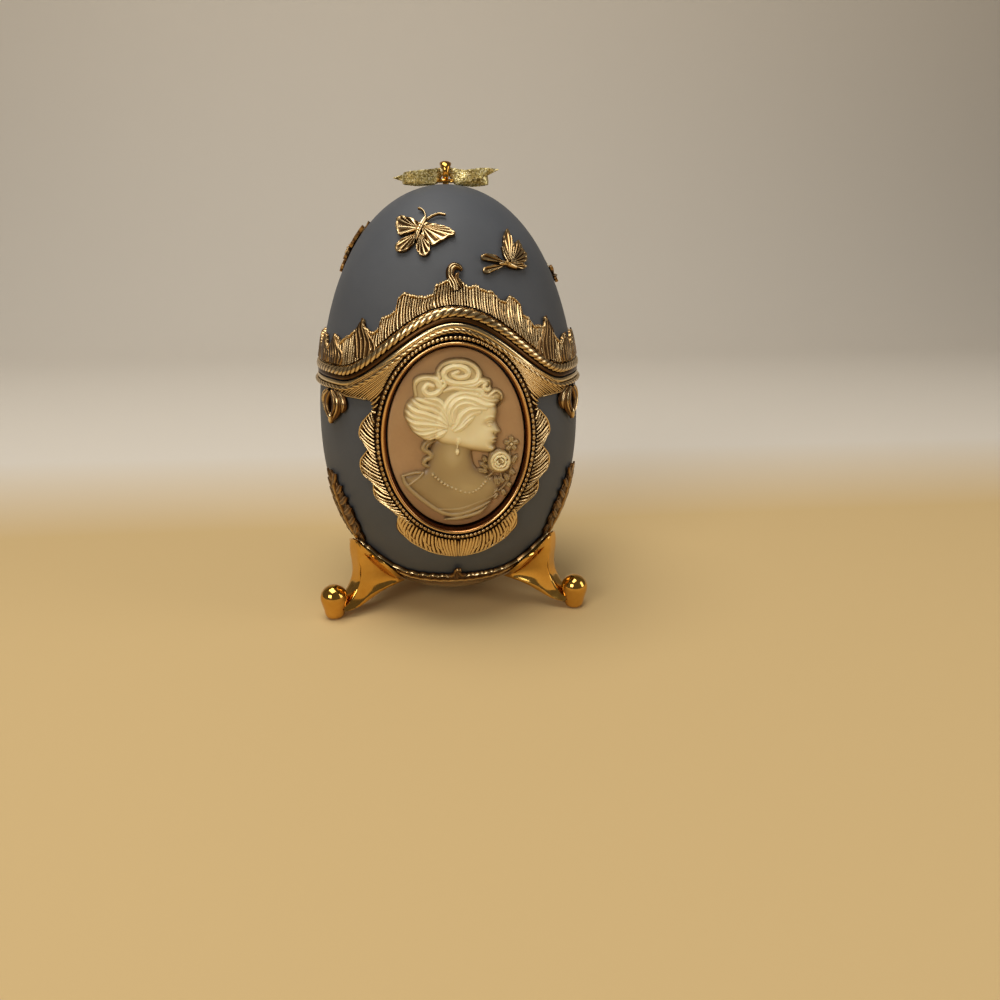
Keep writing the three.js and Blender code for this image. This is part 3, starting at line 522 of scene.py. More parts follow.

# The gilt's colour runs by the crown attribute from dark brown in grooves, hollows and low edges to pale gold on raised
# crowns: painted shade in the recesses and painted highlights on the crowns, on one bright plating.
gilt = Finish("gilt_painted_groove_shade")
gilt_crown = gilt.crown_shading("crown")
gilt_cloud = gilt.noise(160, 4, 0.6)
gilt_pits = gilt.noise(1800, 3, 0.65)
gilt_depth = gilt.reach(gilt_crown + gilt_cloud * 0.35 - 0.17, 0.05, 0.85)
gilt.surface(
    Base_Color=gilt.ramp(
        gilt_depth,
        (0.0, (38, 21, 9)), (0.35, (96, 67, 38)), (0.7, (166, 134, 88)), (1.0, (228, 202, 154)),
    ),
    Metallic=gilt.reach(gilt_crown, -0.3, 0.35) * 0.15 + 0.85,
    Roughness=(1 - gilt_depth) * 0.22 + gilt_cloud * 0.14 + 0.13,
)
gilt.bump(gilt_pits + gilt_cloud * 0.4, 0.12, 0.0001)


def seam_slope(azimuth):
    return np.arctan2(seam_height(azimuth + 0.5) - seam_height(azimuth - 0.5), degree_length)


def beside_seam(azimuth, distance, out):
    """Points a distance above or below the seam, measured square to it."""
    slope = seam_slope(azimuth)
    aside = azimuth - distance * np.sin(slope) / degree_length
    return at_height(aside, seam_height(azimuth) + distance * np.cos(slope), out)


def height_beside(azimuth, distance):
    return seam_height(azimuth) + distance / np.cos(seam_slope(azimuth))


def twisted(phase):
    """How far a strand stands up, from 0 in the groove to 1 on its back."""
    return np.abs(np.cos(phase / 2)) ** 0.7


def rope_rim(name, side, rope_distance, rope_width, rim_width, lip_painted_light, body, node):
    """A band on one side of the seam: a lip against it, then the rope in its groove, then a low outer edge."""
    rim = Casting()
    fine = np.arange(round(360 / rope_step)) * rope_step
    lip = [
        (0.5 * gap, gap, 0.0), (0.5 * gap, gap + 0.3, 0.3 * lip_painted_light), (0.28, gap + rim_lip + 0.02, lip_painted_light),
        (0.5, gap + rim_lip + 0.08, lip_painted_light), (rope_distance - rope_width / 2 - 0.2, gap + rim_lip + 0.02, lip_painted_light),
        (rope_distance - rope_width / 2, gap + 0.2, 0.0),
        (rope_distance + rope_width / 2, gap + 0.2, 0.0), (rim_width - 0.25, gap + rim_lip, 0.9),
        (rim_width - 0.05, gap + rim_lip - 0.15, 0.6), (rim_width, gap, 0.0),
    ]
    grid = np.stack([beside_seam(fine, side * distance, out) for distance, out, _ in lip])
    rim.patch(grid, np.array([crown for _, _, crown in lip])[:, None], loop_u=True, loop_v=True)
    strands = round(float(np.sum(degree_length / np.cos(seam_slope(fine)))) * rope_step / strand_spacing)
    lengths = np.cumsum(1 / np.cos(seam_slope(fine)))
    length_share = (lengths - lengths[0]) / lengths[-1]
    turn = np.linspace(0, 2 * np.pi, 19)[:-1][:, None]
    stand = twisted(rope_strands * turn * side + 2 * np.pi * strands * length_share[None, :])
    radius = rope_width / 2 * mixed(strand_groove, strand_back, stand)
    low = gap + 0.1
    high = gap + rim_lip + rope_height
    flattened = (high - low) / rope_width / strand_back
    rope = beside_seam(
        fine[None, :], side * rope_distance + radius * np.cos(turn),
        (low + high) / 2 + flattened * radius * np.sin(turn),
    )
    rim.patch(rope, stand * 0.9 + 0.1, loop_u=True, loop_v=True)
    return rim.piece(name, gilt, body, [node], "gilt", 50)


body_rim_width = 2.3
lid_rim_width = 3.3
# The body's lip is given a high crown and the lid's a low one: a painted highlight on the body's lip and painted shade
# on the lid's, in one gilt.
rope_rim("body_rope_band", -1, 1.7, 0.95, body_rim_width, 1.0, "base", "body_rope_rim")
rope_rim("lid_rope_band", 1, 2.0, 1.75, lid_rim_width, 0.3, "lid", "lid_rope_rim")


# Crest: a casting of feather flutes that stands on the lid's rope, its scalloped lip rolled over and its sides
# breaking into flame-like leaves, with a small scroll over the middle. It is glued on, and runs all round.
crest_outline = [
    (-60, 67.8), (-54.9, 66.5), (-49, 68.2), (-44.5, 69.5), (-41.6, 71.6), (-40.4, 69.9), (-37.9, 69.3), (-35, 69.2),
    (-33, 69.9), (-32, 72), (-29.5, 72.6), (-25.4, 73.7), (-25, 76), (-23, 77.1), (-20.1, 77.1), (-15.9, 76.4),
    (-12, 76.7), (-9.2, 76.9), (-8.5, 78.6), (-6, 79.3), (-3, 79.6), (2, 80.2), (4.6, 79), (7.8, 78.4), (10, 78.7),
    (12.8, 78.2), (15, 77.4), (17.7, 77.5), (20.6, 75.8), (23.8, 75.3), (26, 76.5), (28.1, 76.3), (30.6, 74.7),
    (31, 72.6), (34, 71.9), (36.9, 70.2), (41.3, 69.9), (43.6, 70.3), (45, 71.7), (46.6, 70), (50.2, 67.2),
    (54.1, 65.9), (60, 67.6),
]
side_leaf_top = 67.4
side_leaf_notch = 64.8
side_leaf_angle = 12
side_leaf_start = crest_outline[-1][0]


def crest_height(azimuth):
    a = (np.asarray(azimuth, float) + 180) % 360 - 180
    front = np.interp(a, *zip(*crest_outline))
    swell = np.abs(np.cos(np.pi * (np.abs(a) - side_leaf_start) / side_leaf_angle))
    return np.where(np.abs(a) <= side_leaf_start, front, mixed(side_leaf_notch, side_leaf_top, swell ** 2.2))


def curve_through(points, count):
    """A smooth line through a few points, as evenly numbered samples."""
    points = np.asarray(points, float)
    ends = np.concatenate([2 * points[:1] - points[1:2], points, 2 * points[-1:] - points[-2:-1]])
    place = np.linspace(0, len(points) - 1, count)
    k = np.minimum(place.astype(int), len(points) - 2)
    t = (place - k)[:, None]
    a, b, c, d = (ends[k + n] for n in range(4))
    return 0.5 * (2 * b + (c - a) * t + (2 * a - 5 * b + 4 * c - d) * t ** 2 + (3 * b - a - 3 * c + d) * t ** 3)


root_run = 0.35
tip_run = 0.4
edge_sink = 0.15


def frond(casting, path, width, height, lift=0.0, grooves=0, tip=0.12, root=0.6, across=None, samples=14):
    """A raised rib or leaf on the egg along a path of (azimuth, height): rounded across, drawn in at its ends."""
    across = across or (5 + 4 * grooves if grooves else 7)
    line = curve_through(path, samples)
    share = np.linspace(0, 1, samples)
    radius, facing_out, _ = egg_profile(latitude(line[:, 1]))
    along = np.gradient(line, axis=0) * np.stack([np.radians(radius), 1 / facing_out], axis=-1)
    along /= np.linalg.norm(along, axis=1, keepdims=True) + 1e-9
    full = np.clip(np.minimum(mixed(root, 1, share / root_run), mixed(tip, 1, (1 - share) / tip_run)), 0, 1)
    full = np.sin(full * np.pi / 2)
    c = np.linspace(-1, 1, across)[None, :]
    half = (width / 2 * full)[:, None]
    azimuth = line[:, :1] + c * half * along[:, 1:] / np.radians(radius)[:, None]
    level = line[:, 1:] - c * half * along[:, :1] * facing_out[:, None]
    dome = np.sqrt(np.clip(1 - c * c, 0, 1))
    cutting = 0.5 - 0.5 * np.cos(np.pi * (c + 1) * grooves) if grooves else 0 * c
    stand = dome * (1 - 0.3 * cutting) * full[:, None] ** 0.6
    out = gap + lift + height * stand - edge_sink * (1 - dome)
    # The frond's crown, low in its grooves and at its edges, which the gilt paints as shade.
    crown_shading = np.clip(dome * (1 - 0.75 * cutting), 0, 1) * mixed(0.35, 1, full[:, None])
    casting.patch(at_height(azimuth, level, out), crown_shading)


def on_side(side, path):
    return [(side * azimuth, level) for azimuth, level in path]


crest = Casting()
crest_azimuth = np.linspace(0, 360, 2401)[:-1]
crest_radians = np.radians(crest_azimuth)
crest_low = height_beside(crest_azimuth, lid_rim_width + 0.1)
scallop_run = crest_radians * 26 + 0.7 * np.sin(crest_radians * 7)
scallops = 0.34 * np.abs(np.sin(scallop_run)) + 0.1 * np.abs(np.sin(scallop_run * 2.3 + 1))
crest_least = 1.6
crest_high = np.maximum(crest_height(crest_azimuth) - 0.15 + scallops, crest_low + crest_least)
flute_pitch = 0.66
flute_phase = crest_azimuth * degree_length / flute_pitch + 0.3 * np.sin(crest_radians * 23)
lip_depth = 1.25
crest_rows = [(share, lip_depth) for share in (0, 0, 0.06, 0.2, 0.4, 0.6, 0.8)]
crest_rows += [(1, below) for below in (lip_depth, 1, 0.8, 0.64, 0.52, 0.4, 0.28, 0.16, 0.06, 0, 0)]
row_share, row_below = (np.array(column)[:, None] for column in zip(*crest_rows))
crest_level = mixed(crest_low[None, :], crest_high[None, :] - row_below, row_share)
bend = 0.6 * np.sin(row_share * np.pi * (1.1 - row_below / 6)) * np.sin(crest_radians * 2.3)[None, :]
flute = np.abs(np.cos(np.pi * (flute_phase[None, :] + bend))) ** 0.7
flute_tall = 0.42 + 0.14 * np.sin(2 * np.pi * flute_phase / 4 + 1)[None, :]
lip = np.exp(-(((row_below - 0.34) / 0.26) ** 2)) * (row_share == 1)
crest_out = gap + 0.12 + flute_tall * flute * (1 - 0.85 * lip) + (0.56 + 0.1 * np.sin(scallop_run * 2)[None, :]) * lip
crest_out[[0, -1]] = gap
crest.patch(
    at_height(crest_azimuth[None, :], crest_level, crest_out), np.maximum(flute * 0.85 * (1 - lip), lip),
    loop_u=True, loop_v=True,
)
flames = [(-41.6, 71.6), (45, 71.7), (-60, 67.8), (60, 67.6)]
side_count = round((180 - side_leaf_start) / side_leaf_angle)
flames += [
    (side * (side_leaf_start + side_leaf_angle * k), side_leaf_top) for k in range(1, side_count) for side in (-1, 1)
]
flames.append((180, side_leaf_top))
for peak, top in flames:
    foot = float(height_beside(np.array([peak]), lid_rim_width + 0.2)[0])
    away = 1 if peak > 0 else -1
    for blade in (-2, 2, -1, 1, 0):
        reach = top - abs(blade) * 0.9 + 0.25
        start = peak + blade * 1.9 - away * 2.2
        path = [
            (start, foot), (start + blade * 0.5, mixed(foot, reach, 0.4)),
            (peak + blade * 1.7 + away * 0.4, mixed(foot, reach, 0.75)), (peak + blade * 1.15 + away * 0.9, reach),
        ]
        frond(crest, path, 1.35, 0.5, 0.3 + 0.1 * (2 - abs(blade)), grooves=1, root=0.8)
curled_leaf = [(0.8, 77.6), (0.2, 79.2), (-1.4, 80.4), (-1.5, 81.6), (0.2, 82.4), (2.7, 82.3), (4.3, 81.5)]
frond(crest, curled_leaf, 1.75, 0.75, 0.45, grooves=3, across=19, samples=44, root=0.8, tip=0.25)
small_leaf = [(3.4, 78.2), (1.9, 79.4), (1.5, 80.5), (2.5, 81.1)]
frond(crest, small_leaf, 0.9, 0.6, 0.5, grooves=1, samples=20, tip=0.3)
frond(crest, [(-0.8, 78.2), (-1.8, 79.3), (-2.6, 80.2)], 0.7, 0.5, 0.35, samples=16, tip=0.3)
crest.piece("lid_feather_crest", gilt, "lid", ["lid_crest"], "gilt", 60)


# Leaf surround: one casting that frames the cameo's bezel, with a string of beads against it. A ribbed web
# spreads under the rope on each side, then three ribbed leaf lobes, and a cup of small leaves holds the foot.
fringe_outline = [
    (52.5, 55.2), (35.4, 55.2), (34.2, 54.2), (34, 52.9), (36.4, 51.6), (38.9, 50.2), (40.3, 48.5), (40.4, 46.9),
    (38.6, 45.6), (36.2, 44.5), (38.6, 43), (40.4, 41.8), (40.9, 40.2), (39.6, 38), (35.9, 37), (35.5, 34.2),
    (30.6, 31.7), (23.6, 28.9), (25.8, 26.8), (24.6, 24.8), (21.2, 22.7), (13.8, 20.5), (4.7, 19.2), (0, 19),
]
bed_margin = seat_margin


def on_front(x, height, out):
    """The point of the front at a width and height, some way out from the egg."""
    lat = latitude(height - out * egg_profile(latitude(height))[2])
    radius, facing_out, _ = egg_profile(lat)
    reach = radius + out * facing_out
    return np.stack([x, -np.sqrt(np.maximum(reach * reach - x * x, 0)), height + 0 * x], axis=-1)


def bed_place(turn, margin):
    """The azimuth and height of a point beside the bezel, a margin outside the plaque's edge."""
    x = (plaque_width / 2 + margin) * math.sin(turn)
    level = plaque_level + (plaque_height / 2 + margin) * math.cos(turn)
    spot = on_front(np.array([x]), np.array([level]), gap)[0]
    return math.degrees(math.atan2(spot[0], -spot[1])), level


def inside_fringe(azimuth, height):
    if height > float(height_beside(np.array([azimuth]), -body_rim_width - 0.1)[0]):
        return False
    if height > fringe_outline[0][1]:
        return azimuth < fringe_outline[0][0]
    crossings = 0
    for (a0, z0), (a1, z1) in zip(fringe_outline[1:], fringe_outline[2:]):
        if (z0 > height) != (z1 > height) and mixed(a0, a1, (height - z0) / (z1 - z0)) > azimuth:
            crossings += 1
    return crossings % 2 == 1


def fringe_edge(turn):
    """Where a ray from the cameo's middle leaves the surround."""
    across, up = math.sin(turn) / degree_length, math.cos(turn)
    reach, step = plaque_width / 2, 0.06
    while inside_fringe((reach + step) * across, plaque_level + (reach + step) * up):
        reach += step
    return reach * across, plaque_level + reach * up


surround = Casting()
half_rays = 260
ray_turns = [math.pi * k / half_rays for k in range(half_rays + 1)]
ray_edges = [fringe_edge(turn) for turn in ray_turns]
ray_beds = [bed_place(turn, bed_margin) for turn in ray_turns]
edges, beds = (np.array(half + on_side(-1, half[-2:0:-1])) for half in (ray_edges, ray_beds))
way = np.hypot((edges[:, 0] - beds[:, 0]) * degree_length, edges[:, 1] - beds[:, 1])
edges = beds + (edges - beds) * np.maximum(1, 0.5 / np.maximum(way, 1e-6))[:, None]
plate_rows = [
    (0, 0, 0), (0, 0.55, 0.1), (0.1, 0.5, 0.1), (0.3, 0.26, 0), (0.55, 0.18, 0), (0.8, 0.18, 0), (0.9, 0.3, 0.3),
    (0.95, 0.44, 0.7), (0.985, 0.36, 0.6), (1, 0.2, 0.2), (1, 0, 0),
]
grid = []
for share, out, _ in plate_rows:
    spot = beds + (edges - beds) * share
    grid.append(at_height(spot[:, 0], spot[:, 1], gap + out))
bed_x = (plaque_width / 2 + bed_margin) * np.sin(np.arange(2 * half_rays) * np.pi / half_rays)
for row, out in enumerate((0, 0.6)):
    grid[row] = on_front(bed_x, beds[:, 1], gap + out)
surround.patch(np.stack(grid), np.array([crown for _, _, crown in plate_rows])[:, None], loop_u=True, loop_v=True)

bead_count = 112
bead_samples = bead_count * 8
bead_turn = np.arange(bead_samples) * 2 * np.pi / bead_samples
bead = np.abs(np.cos(bead_turn * bead_count / 2)) ** 0.6
bead_round = np.linspace(0, 2 * np.pi, 11)[:-1][:, None]
bead_margin = bed_margin + 0.42
bead_radius = 0.2 + 0.2 * bead[None, :]
margin = bead_margin + bead_radius * np.cos(bead_round)
bead_x = (plaque_width / 2 + margin) * np.sin(bead_turn)[None, :]
bead_z = plaque_level + (plaque_height / 2 + margin) * np.cos(bead_turn)[None, :]
bead_lift = 0.62
bead_points = on_front(bead_x, bead_z, gap + bead_lift + bead_radius * np.sin(bead_round))
surround.patch(bead_points, 0.15 + 0.6 * bead[None, :], loop_u=True, loop_v=True)


rib_root_margin = bed_margin + 0.9


def bezel_turn(height):
    return math.acos(max(-1, min(1, (height - plaque_level) / (plaque_height / 2 + bed_margin))))


def lobe_ribs(root_low, root_high, edge, count, sag, width, rim=True):
    """One leaf lobe on both sides: its ribs climb from the bezel to its edge, which is rolled into a thin rim."""
    line = curve_through(edge, 40)
    for k in range(count):
        share = k / (count - 1)
        root = bed_place(bezel_turn(mixed(root_low, root_high, share)), rib_root_margin)
        tip = line[round(share * 39)]
        middle = ((root[0] + tip[0]) / 2, (root[1] + tip[1]) / 2 - sag)
        for side in (-1, 1):
            frond(surround, on_side(side, (root, middle, tip)), width, 0.5, 0.2 + 0.1 * (k % 2), root=0.5, tip=0.45)
    if rim:
        for side in (-1, 1):
            frond(surround, on_side(side, line[::5]), 0.5, 0.35, 0.42, root=0.5, tip=0.5, samples=30)


lobe_ribs(66.8, 58.2, [(53.2, 55.9), (49.6, 55.4), (46, 55.3), (42, 55.3), (38.4, 55.2), (35.8, 55.1)], 14, 0.1, 0.56)
lobe_ribs(57.4, 52.4, [(35, 54.9), (34.4, 54.2), (34.2, 53.5), (34.2, 52.9)], 4, 0.2, 0.6, False)
lobe_ribs(50.2, 43.2, [
    (34.6, 52.5), (36.6, 51.4), (38.8, 50.1), (40.2, 48.4), (40.2, 46.8), (38.4, 45.7),
], 10, 0.3, 0.6)
lobe_ribs(42.4, 35.4, [
    (36.4, 44.2), (38.6, 42.9), (40.3, 41.7), (40.8, 40.1), (39.4, 38.2), (36.4, 37.2),
], 10, 0.3, 0.6)
lobe_ribs(34.8, 28.4, [(35, 36.6), (35.4, 34.2), (33.2, 32.6), (30.4, 31.7), (27.4, 30.5), (24.6, 29.4)], 10, 0.4, 0.6)
foot_edge = curve_through([
    (24.6, 26.4), (24.2, 24.7), (21.4, 23), (17.4, 21.7), (12.4, 20.4), (7, 19.7), (3.4, 19.4), (0.7, 19.3),
], 60)
foot_ribs = 19
for k in range(foot_ribs):
    share = k / (foot_ribs - 1)
    root = bed_place(mixed(2.36, 3.1, share), rib_root_margin)
    low = foot_edge[round(share * 59)]
    middle = ((root[0] + low[0]) / 2 + 1.5 * (1 - share), mixed(low[1], root[1], 0.45))
    for side in (-1, 1):
        frond(surround, on_side(side, (low, middle, root)), 0.92, 0.55, 0.3 + 0.1 * (k % 2), tip=0.5)
foot_leaves = [
    ((26.2, 28.2), (22.6, 24.2)), ((22, 27.4), (18, 23)), ((15.4, 25.5), (12.2, 21.8)), ((9, 24.2), (6.8, 21)),
]
for side in (-1, 1):
    frond(surround, on_side(side, foot_edge[::6]), 0.6, 0.4, 0.4, samples=40, root=0.7, tip=0.6)
    for tip, root in foot_leaves:
        path = on_side(side, (root, ((tip[0] + root[0]) / 2 + 1.3, (tip[1] + root[1]) / 2 - 0.3), tip))
        frond(surround, path, 1.5, 0.5, 0.5, grooves=2, samples=18, root=0.4, tip=0.15)
frond(surround, [(0, 19.5), (0, 21.4), (0, 23.6)], 1.7, 0.5, 0.5, grooves=2, samples=18, root=0.4, tip=0.2)
surround.piece("leaf_surround", gilt, "base", ["cameo_surround"], "gilt", 60)


# Bezel: a polished moulding let into the body's seat, hollowed towards the plaque that it holds. Its crown
# follows the egg's surface all round. Its hollow and outer edge are coloured a darker reddish brown: painted shade.
bezel_metal = Finish("bezel_gilt")
bezel_cloud = bezel_metal.noise(240, 4, 0.6)
bezel_crown = bezel_metal.crown_shading("crown")
bezel_metal.surface(
    # Painted shade: the low crown, in the hollow and at the edges, is coloured dark reddish brown, and the crest pale
    # gold.
    Base_Color=bezel_metal.ramp(
        bezel_metal.reach(bezel_crown + bezel_cloud * 0.3 - 0.15, 0, 1),
        (0, (78, 38, 18)), (0.45, (166, 112, 64)), (1, (240, 200, 140)),
    ),
    Metallic=0.95,
    Roughness=bezel_cloud * 0.16 + 0.1,
)
bezel_metal.bump(bezel_cloud, 0.05, 0.0001)

bezel = Casting()
bezel_proud = 1.0
bezel_sides = 288
bezel_crown_ring = ovals(gap + bezel_width * 0.62, 0, bezel_sides)
crest_y = on_front(bezel_crown_ring[:, 0], bezel_crown_ring[:, 2], bezel_proud)[:, 1]
bezel_rings = [
    (gap, plaque_back, None, 0.0), (gap, plaque_face + 0.2, None, 0.0), (gap + 0.08, None, 0.34, 0.05),
    (gap + 0.2, None, 0.66, 0.1), (gap + 0.4, None, 0.88, 0.3), (gap + bezel_width * 0.55, None, 0.985, 0.8),
    (gap + bezel_width * 0.68, None, 1.0, 1.0), (gap + bezel_width * 0.82, None, 0.97, 0.8),
    (gap + bezel_width * 0.95, None, 0.88, 0.3), (gap + bezel_width, None, 0.74, 0.0),
    (gap + bezel_width, plaque_back, None, 0.0),
]
bezel_grid = []
for bezel_margin, depth, share, _ in bezel_rings:
    ring = ovals(bezel_margin, depth or 0, bezel_sides)
    if depth is None:
        ring[:, 1] = mixed(-plaque_face, crest_y, share)
    bezel_grid.append(ring)
bezel.patch(np.stack(bezel_grid), np.array([crown for *_, crown in bezel_rings])[:, None], loop_u=True, loop_v=True)
bezel.piece("cameo_bezel_ring", bezel_metal, "base", ["cameo_bezel"], "gilt", 40)


# Plaque: the cameo's ground, a flat oval of moulded resin with a fine bevel, which lies in the bezel. It is
# tinted a dusty pink-tan, with painted shade that darkens it towards its foot.
plaque_ground = Finish("dusty_pink_resin")
ground_drift = plaque_ground.noise(70, 3, 0.5)
ground_grain = plaque_ground.noise(1500, 3, 0.6)
painted_shade_height = plaque_ground.node("ShaderNodeSeparateXYZ", None, plaque_ground.place(), out=2)
ground_tint = plaque_ground.mottle(
    ground_drift * 0.8 + ground_grain * 0.2, 0.35, 0.65, (180, 142, 100), (192, 155, 112),
)
plaque_ground.surface(
    # Painted shade: below 42 mm the ground is blended towards a darker brown, as the light from above falls off towards
    # its foot.
    Base_Color=plaque_ground.blend(
        plaque_ground.reach(painted_shade_height, 0.042, 0.028) * 0.65, ground_tint, shade(152, 108, 70),
    ),
    Roughness=ground_grain * 0.12 + 0.3,
    Subsurface_Weight=0.12,
    Subsurface_Radius=(0.8, 0.4, 0.2),
    Subsurface_Scale=0.0008,
    Coat_Weight=0.15,
    Coat_Roughness=0.3,
)
plaque_ground.bump(ground_grain, 0.06, 0.0001)

plaque = Casting()
bevel = 0.3


def shrunk(ring, share):
    """A ring drawn in towards the plaque's middle, to a share of its size."""
    return mixed(np.array([0, ring[0, 1], plaque_level]), ring, share)


plaque_foot = ovals(-bevel - 1, plaque_back)
plaque_top = ovals(-bevel, plaque_face)
plaque_rings = [shrunk(plaque_foot, 0), plaque_foot, ovals(0, plaque_back), ovals(0, plaque_face - bevel)]
plaque_rings += [ovals(-0.09, plaque_face - 0.09), plaque_top]
plaque_rings += [shrunk(plaque_top, share) for share in np.linspace(0.94, 0, 16)]
plaque.patch(np.stack(plaque_rings), loop_u=True)
plaque.piece("cameo_ground", plaque_ground, "base", ["cameo_plaque"], "plaque_pink", 40)


# Bust: the cameo's relief of a woman in profile, moulded in ivory resin and fixed on the ground. It is drawn
# as a field of heights: a rounded head, neck and draped shoulders, with each lock of hair laid over them.
ivory = Finish("ivory_resin")
ivory_drift = ivory.noise(120, 3, 0.5)
ivory_grain = ivory.noise(1700, 3, 0.6)
ivory_crown = ivory.crown_shading("crown")
ivory.surface(
    # The colour darkens from the relief's crown down to its lowest parts: partly the thin translucent resin letting the
    # ground show through, partly painted shade on the neck and dress below the head.
    Base_Color=ivory.ramp(
        ivory.reach(ivory_crown + ivory_drift * 0.12 - 0.06, 0, 1),
        (0, (140, 108, 70)), (0.35, (142, 114, 74)), (0.62, (178, 153, 105)), (0.9, (236, 218, 168)),
        (1, (244, 230, 184)),
    ),
    Roughness=ivory_grain * 0.12 + 0.3,
    Subsurface_Weight=0.2,
    Subsurface_Radius=(0.9, 0.6, 0.3),
    Subsurface_Scale=0.0008,
    Coat_Weight=0.12,
    Coat_Roughness=0.3,
)
ivory.bump(ivory_grain, 0.05, 0.0001)


class Relief:
    """Heights in millimetres over the cameo's ground, x to the right and y up from the plaque's middle."""

    def __init__(self, left, right, low, high, step=0.09):
        self.x, self.y = np.meshgrid(np.arange(left, right, step), np.arange(low, high, step), indexing="xy")
        self.height = np.full(self.x.shape, -0.3)

    def near(self, path, reach):
        """Distance to a line, and the share along it of the nearest place, close to the line only."""
        path = np.asarray(path, float)
        box = (self.x > path[:, 0].min() - reach) & (self.x < path[:, 0].max() + reach)
        box &= (self.y > path[:, 1].min() - reach) & (self.y < path[:, 1].max() + reach)
        x, y = self.x[box], self.y[box]
        best, place = np.full(x.shape, 1e9), np.zeros(x.shape)
        for k, ((x0, y0), (x1, y1)) in enumerate(zip(path, path[1:])):
            dx, dy = x1 - x0, y1 - y0
            t = np.clip(((x - x0) * dx + (y - y0) * dy) / (dx * dx + dy * dy + 1e-12), 0, 1)
            away = np.hypot(x - x0 - t * dx, y - y0 - t * dy)
            closer = away < best
            best = np.where(closer, away, best)
            place = np.where(closer, (k + t) / (len(path) - 1), place)
        return box, best, place

    def area(self, outline, height, edge, base=0.0):
        """A rounded mass inside a smooth closed outline, full height a way in from its edge."""
        line = curve_through([*outline, outline[0]], 16 * len(outline))
        inside = np.zeros(self.x.shape, bool)
        for (x0, y0), (x1, y1) in zip(line, line[1:]):
            spans = (y0 > self.y) != (y1 > self.y)
            cross = x0 + (self.y - y0) * (x1 - x0) / (y1 - y0 + 1e-12)
            inside ^= spans & (self.x < cross)
        _, away, _ = self.near(line, 1e3)
        away = away.reshape(self.x.shape)
        share = np.clip(away / edge, 0, 1)
        made = base + height * np.sqrt(1 - (1 - share) ** 2)
        self.height = np.where(inside, np.maximum(self.height, made), self.height)

    def lock(self, path, width, height, base=None, grooves=0, taper=0.5, samples=40):
        """A raised strand along a smooth line, laid over what is there or over a given base."""
        line = curve_through(path, samples)
        box, away, place = self.near(line, width)
        full = np.clip(np.minimum(1, (1 - taper) + taper * np.minimum(place, 1 - place) / 0.25), 0, 1)
        share = away / (width / 2 * full + 1e-6)
        dome = np.sqrt(np.clip(1 - share ** 2, 0, 1))
        if grooves:
            dome = dome * (1 - 0.25 * (0.5 - 0.5 * np.cos(2 * np.pi * share * grooves)))
        under = self.under[box] if base is None else base
        made = np.where(share < 1, under + height * dome * full, -9)
        self.height[box] = np.maximum(self.height[box], made)

    def settle(self):
        """Remembers the masses so far as what the next locks lie on."""
        self.under = self.height.copy()

    def press(self, x, y, wide, tall, height, lean=0.0):
        """A soft swelling, or a hollow where the height is negative."""
        dx, dy = self.x - x, self.y - y
        along = dx * math.cos(lean) + dy * math.sin(lean)
        aside = dy * math.cos(lean) - dx * math.sin(lean)
        swell = height * np.exp(-((along / wide) ** 2) - (aside / tall) ** 2)
        self.height = np.where(self.height > 0, self.height + swell, self.height)

    def line_in(self, path, width, height, samples=30):
        """A fine line cut into the surface, or raised from it, that fades at its ends."""
        box, away, place = self.near(curve_through(path, samples), width * 2)
        fade = np.clip(np.minimum(place, 1 - place) / 0.2, 0.2, 1)
        self.height[box] += np.where(self.height[box] > 0, height * fade * np.exp(-((away / width) ** 2)), 0)

    def coil(self, x, y, radius, turns, start, way, width, height, base=None):
        """A curl of hair or a petalled whorl, wound in from its outside."""
        share = np.linspace(0, 1, 14)
        turn = start + way * share * turns * 2 * math.pi
        reach = radius * (1 - 0.86 * share)
        self.lock(np.stack([x + reach * np.cos(turn), y + reach * np.sin(turn)], axis=-1), width, height, base,
                  taper=0.3, samples=70)

    def piece(self, name, finish, body, nodes, slot, tallest):
        depth = plaque_face + np.where(self.height > 0, self.height, -0.06)
        grid = np.stack([self.x, -depth, plaque_level + self.y], axis=-1)
        casting = Casting()
        casting.patch(grid, np.clip(self.height / tallest, 0, 1))
        faces = casting.faces[0]
        keep = (self.height.reshape(-1)[faces] > 0).any(axis=1)
        casting.faces = [faces[keep]]
        return casting.piece(name, finish, body, nodes, slot, 70)


bust = Relief(-12.9, 10.4, -19.2, 18.6)
shoulder_outline = [
    (-11.9, -7.8), (-9.4, -6.9), (-7.2, -6.6), (-6.3, -4.4), (-5.6, -1.6), (-4.2, 0.6), (0, 1), (3.2, -1), (3.3, -3.6),
    (4, -6), (5.8, -7.6), (8.2, -9), (9.2, -11.2), (8, -13.9), (5, -16.8), (1.6, -18.6), (-3.6, -16.8), (-8, -13.4),
    (-11.3, -10),
]
bust.area(shoulder_outline, 1.0, 2.4, 0.1)
for swelling in ((-1, -3, 3, 5, 0.45), (2.5, -11, 4.5, 3, 0.35)):
    bust.press(*swelling)
head_outline = [
    (-5, 0.4), (-3.2, -1), (0.6, -1.9), (3.6, -2.6), (6.4, -3.05), (7.8, -2.85), (8.5, -2.2), (8.5, -1.5), (8.2, -1.1),
    (8.7, -0.75), (8.9, -0.4), (8.65, -0.1), (9, 0.2), (8.75, 0.75), (8.75, 1.1), (9.6, 1.4), (9.75, 1.85), (9.2, 2.8),
    (8.65, 4.1), (8.8, 5), (8.95, 6.2), (8.7, 7.4), (8, 8.8), (4, 10.4), (-2, 10), (-5, 5),
]
bust.area(head_outline, 2.0, 2.6, 0.15)
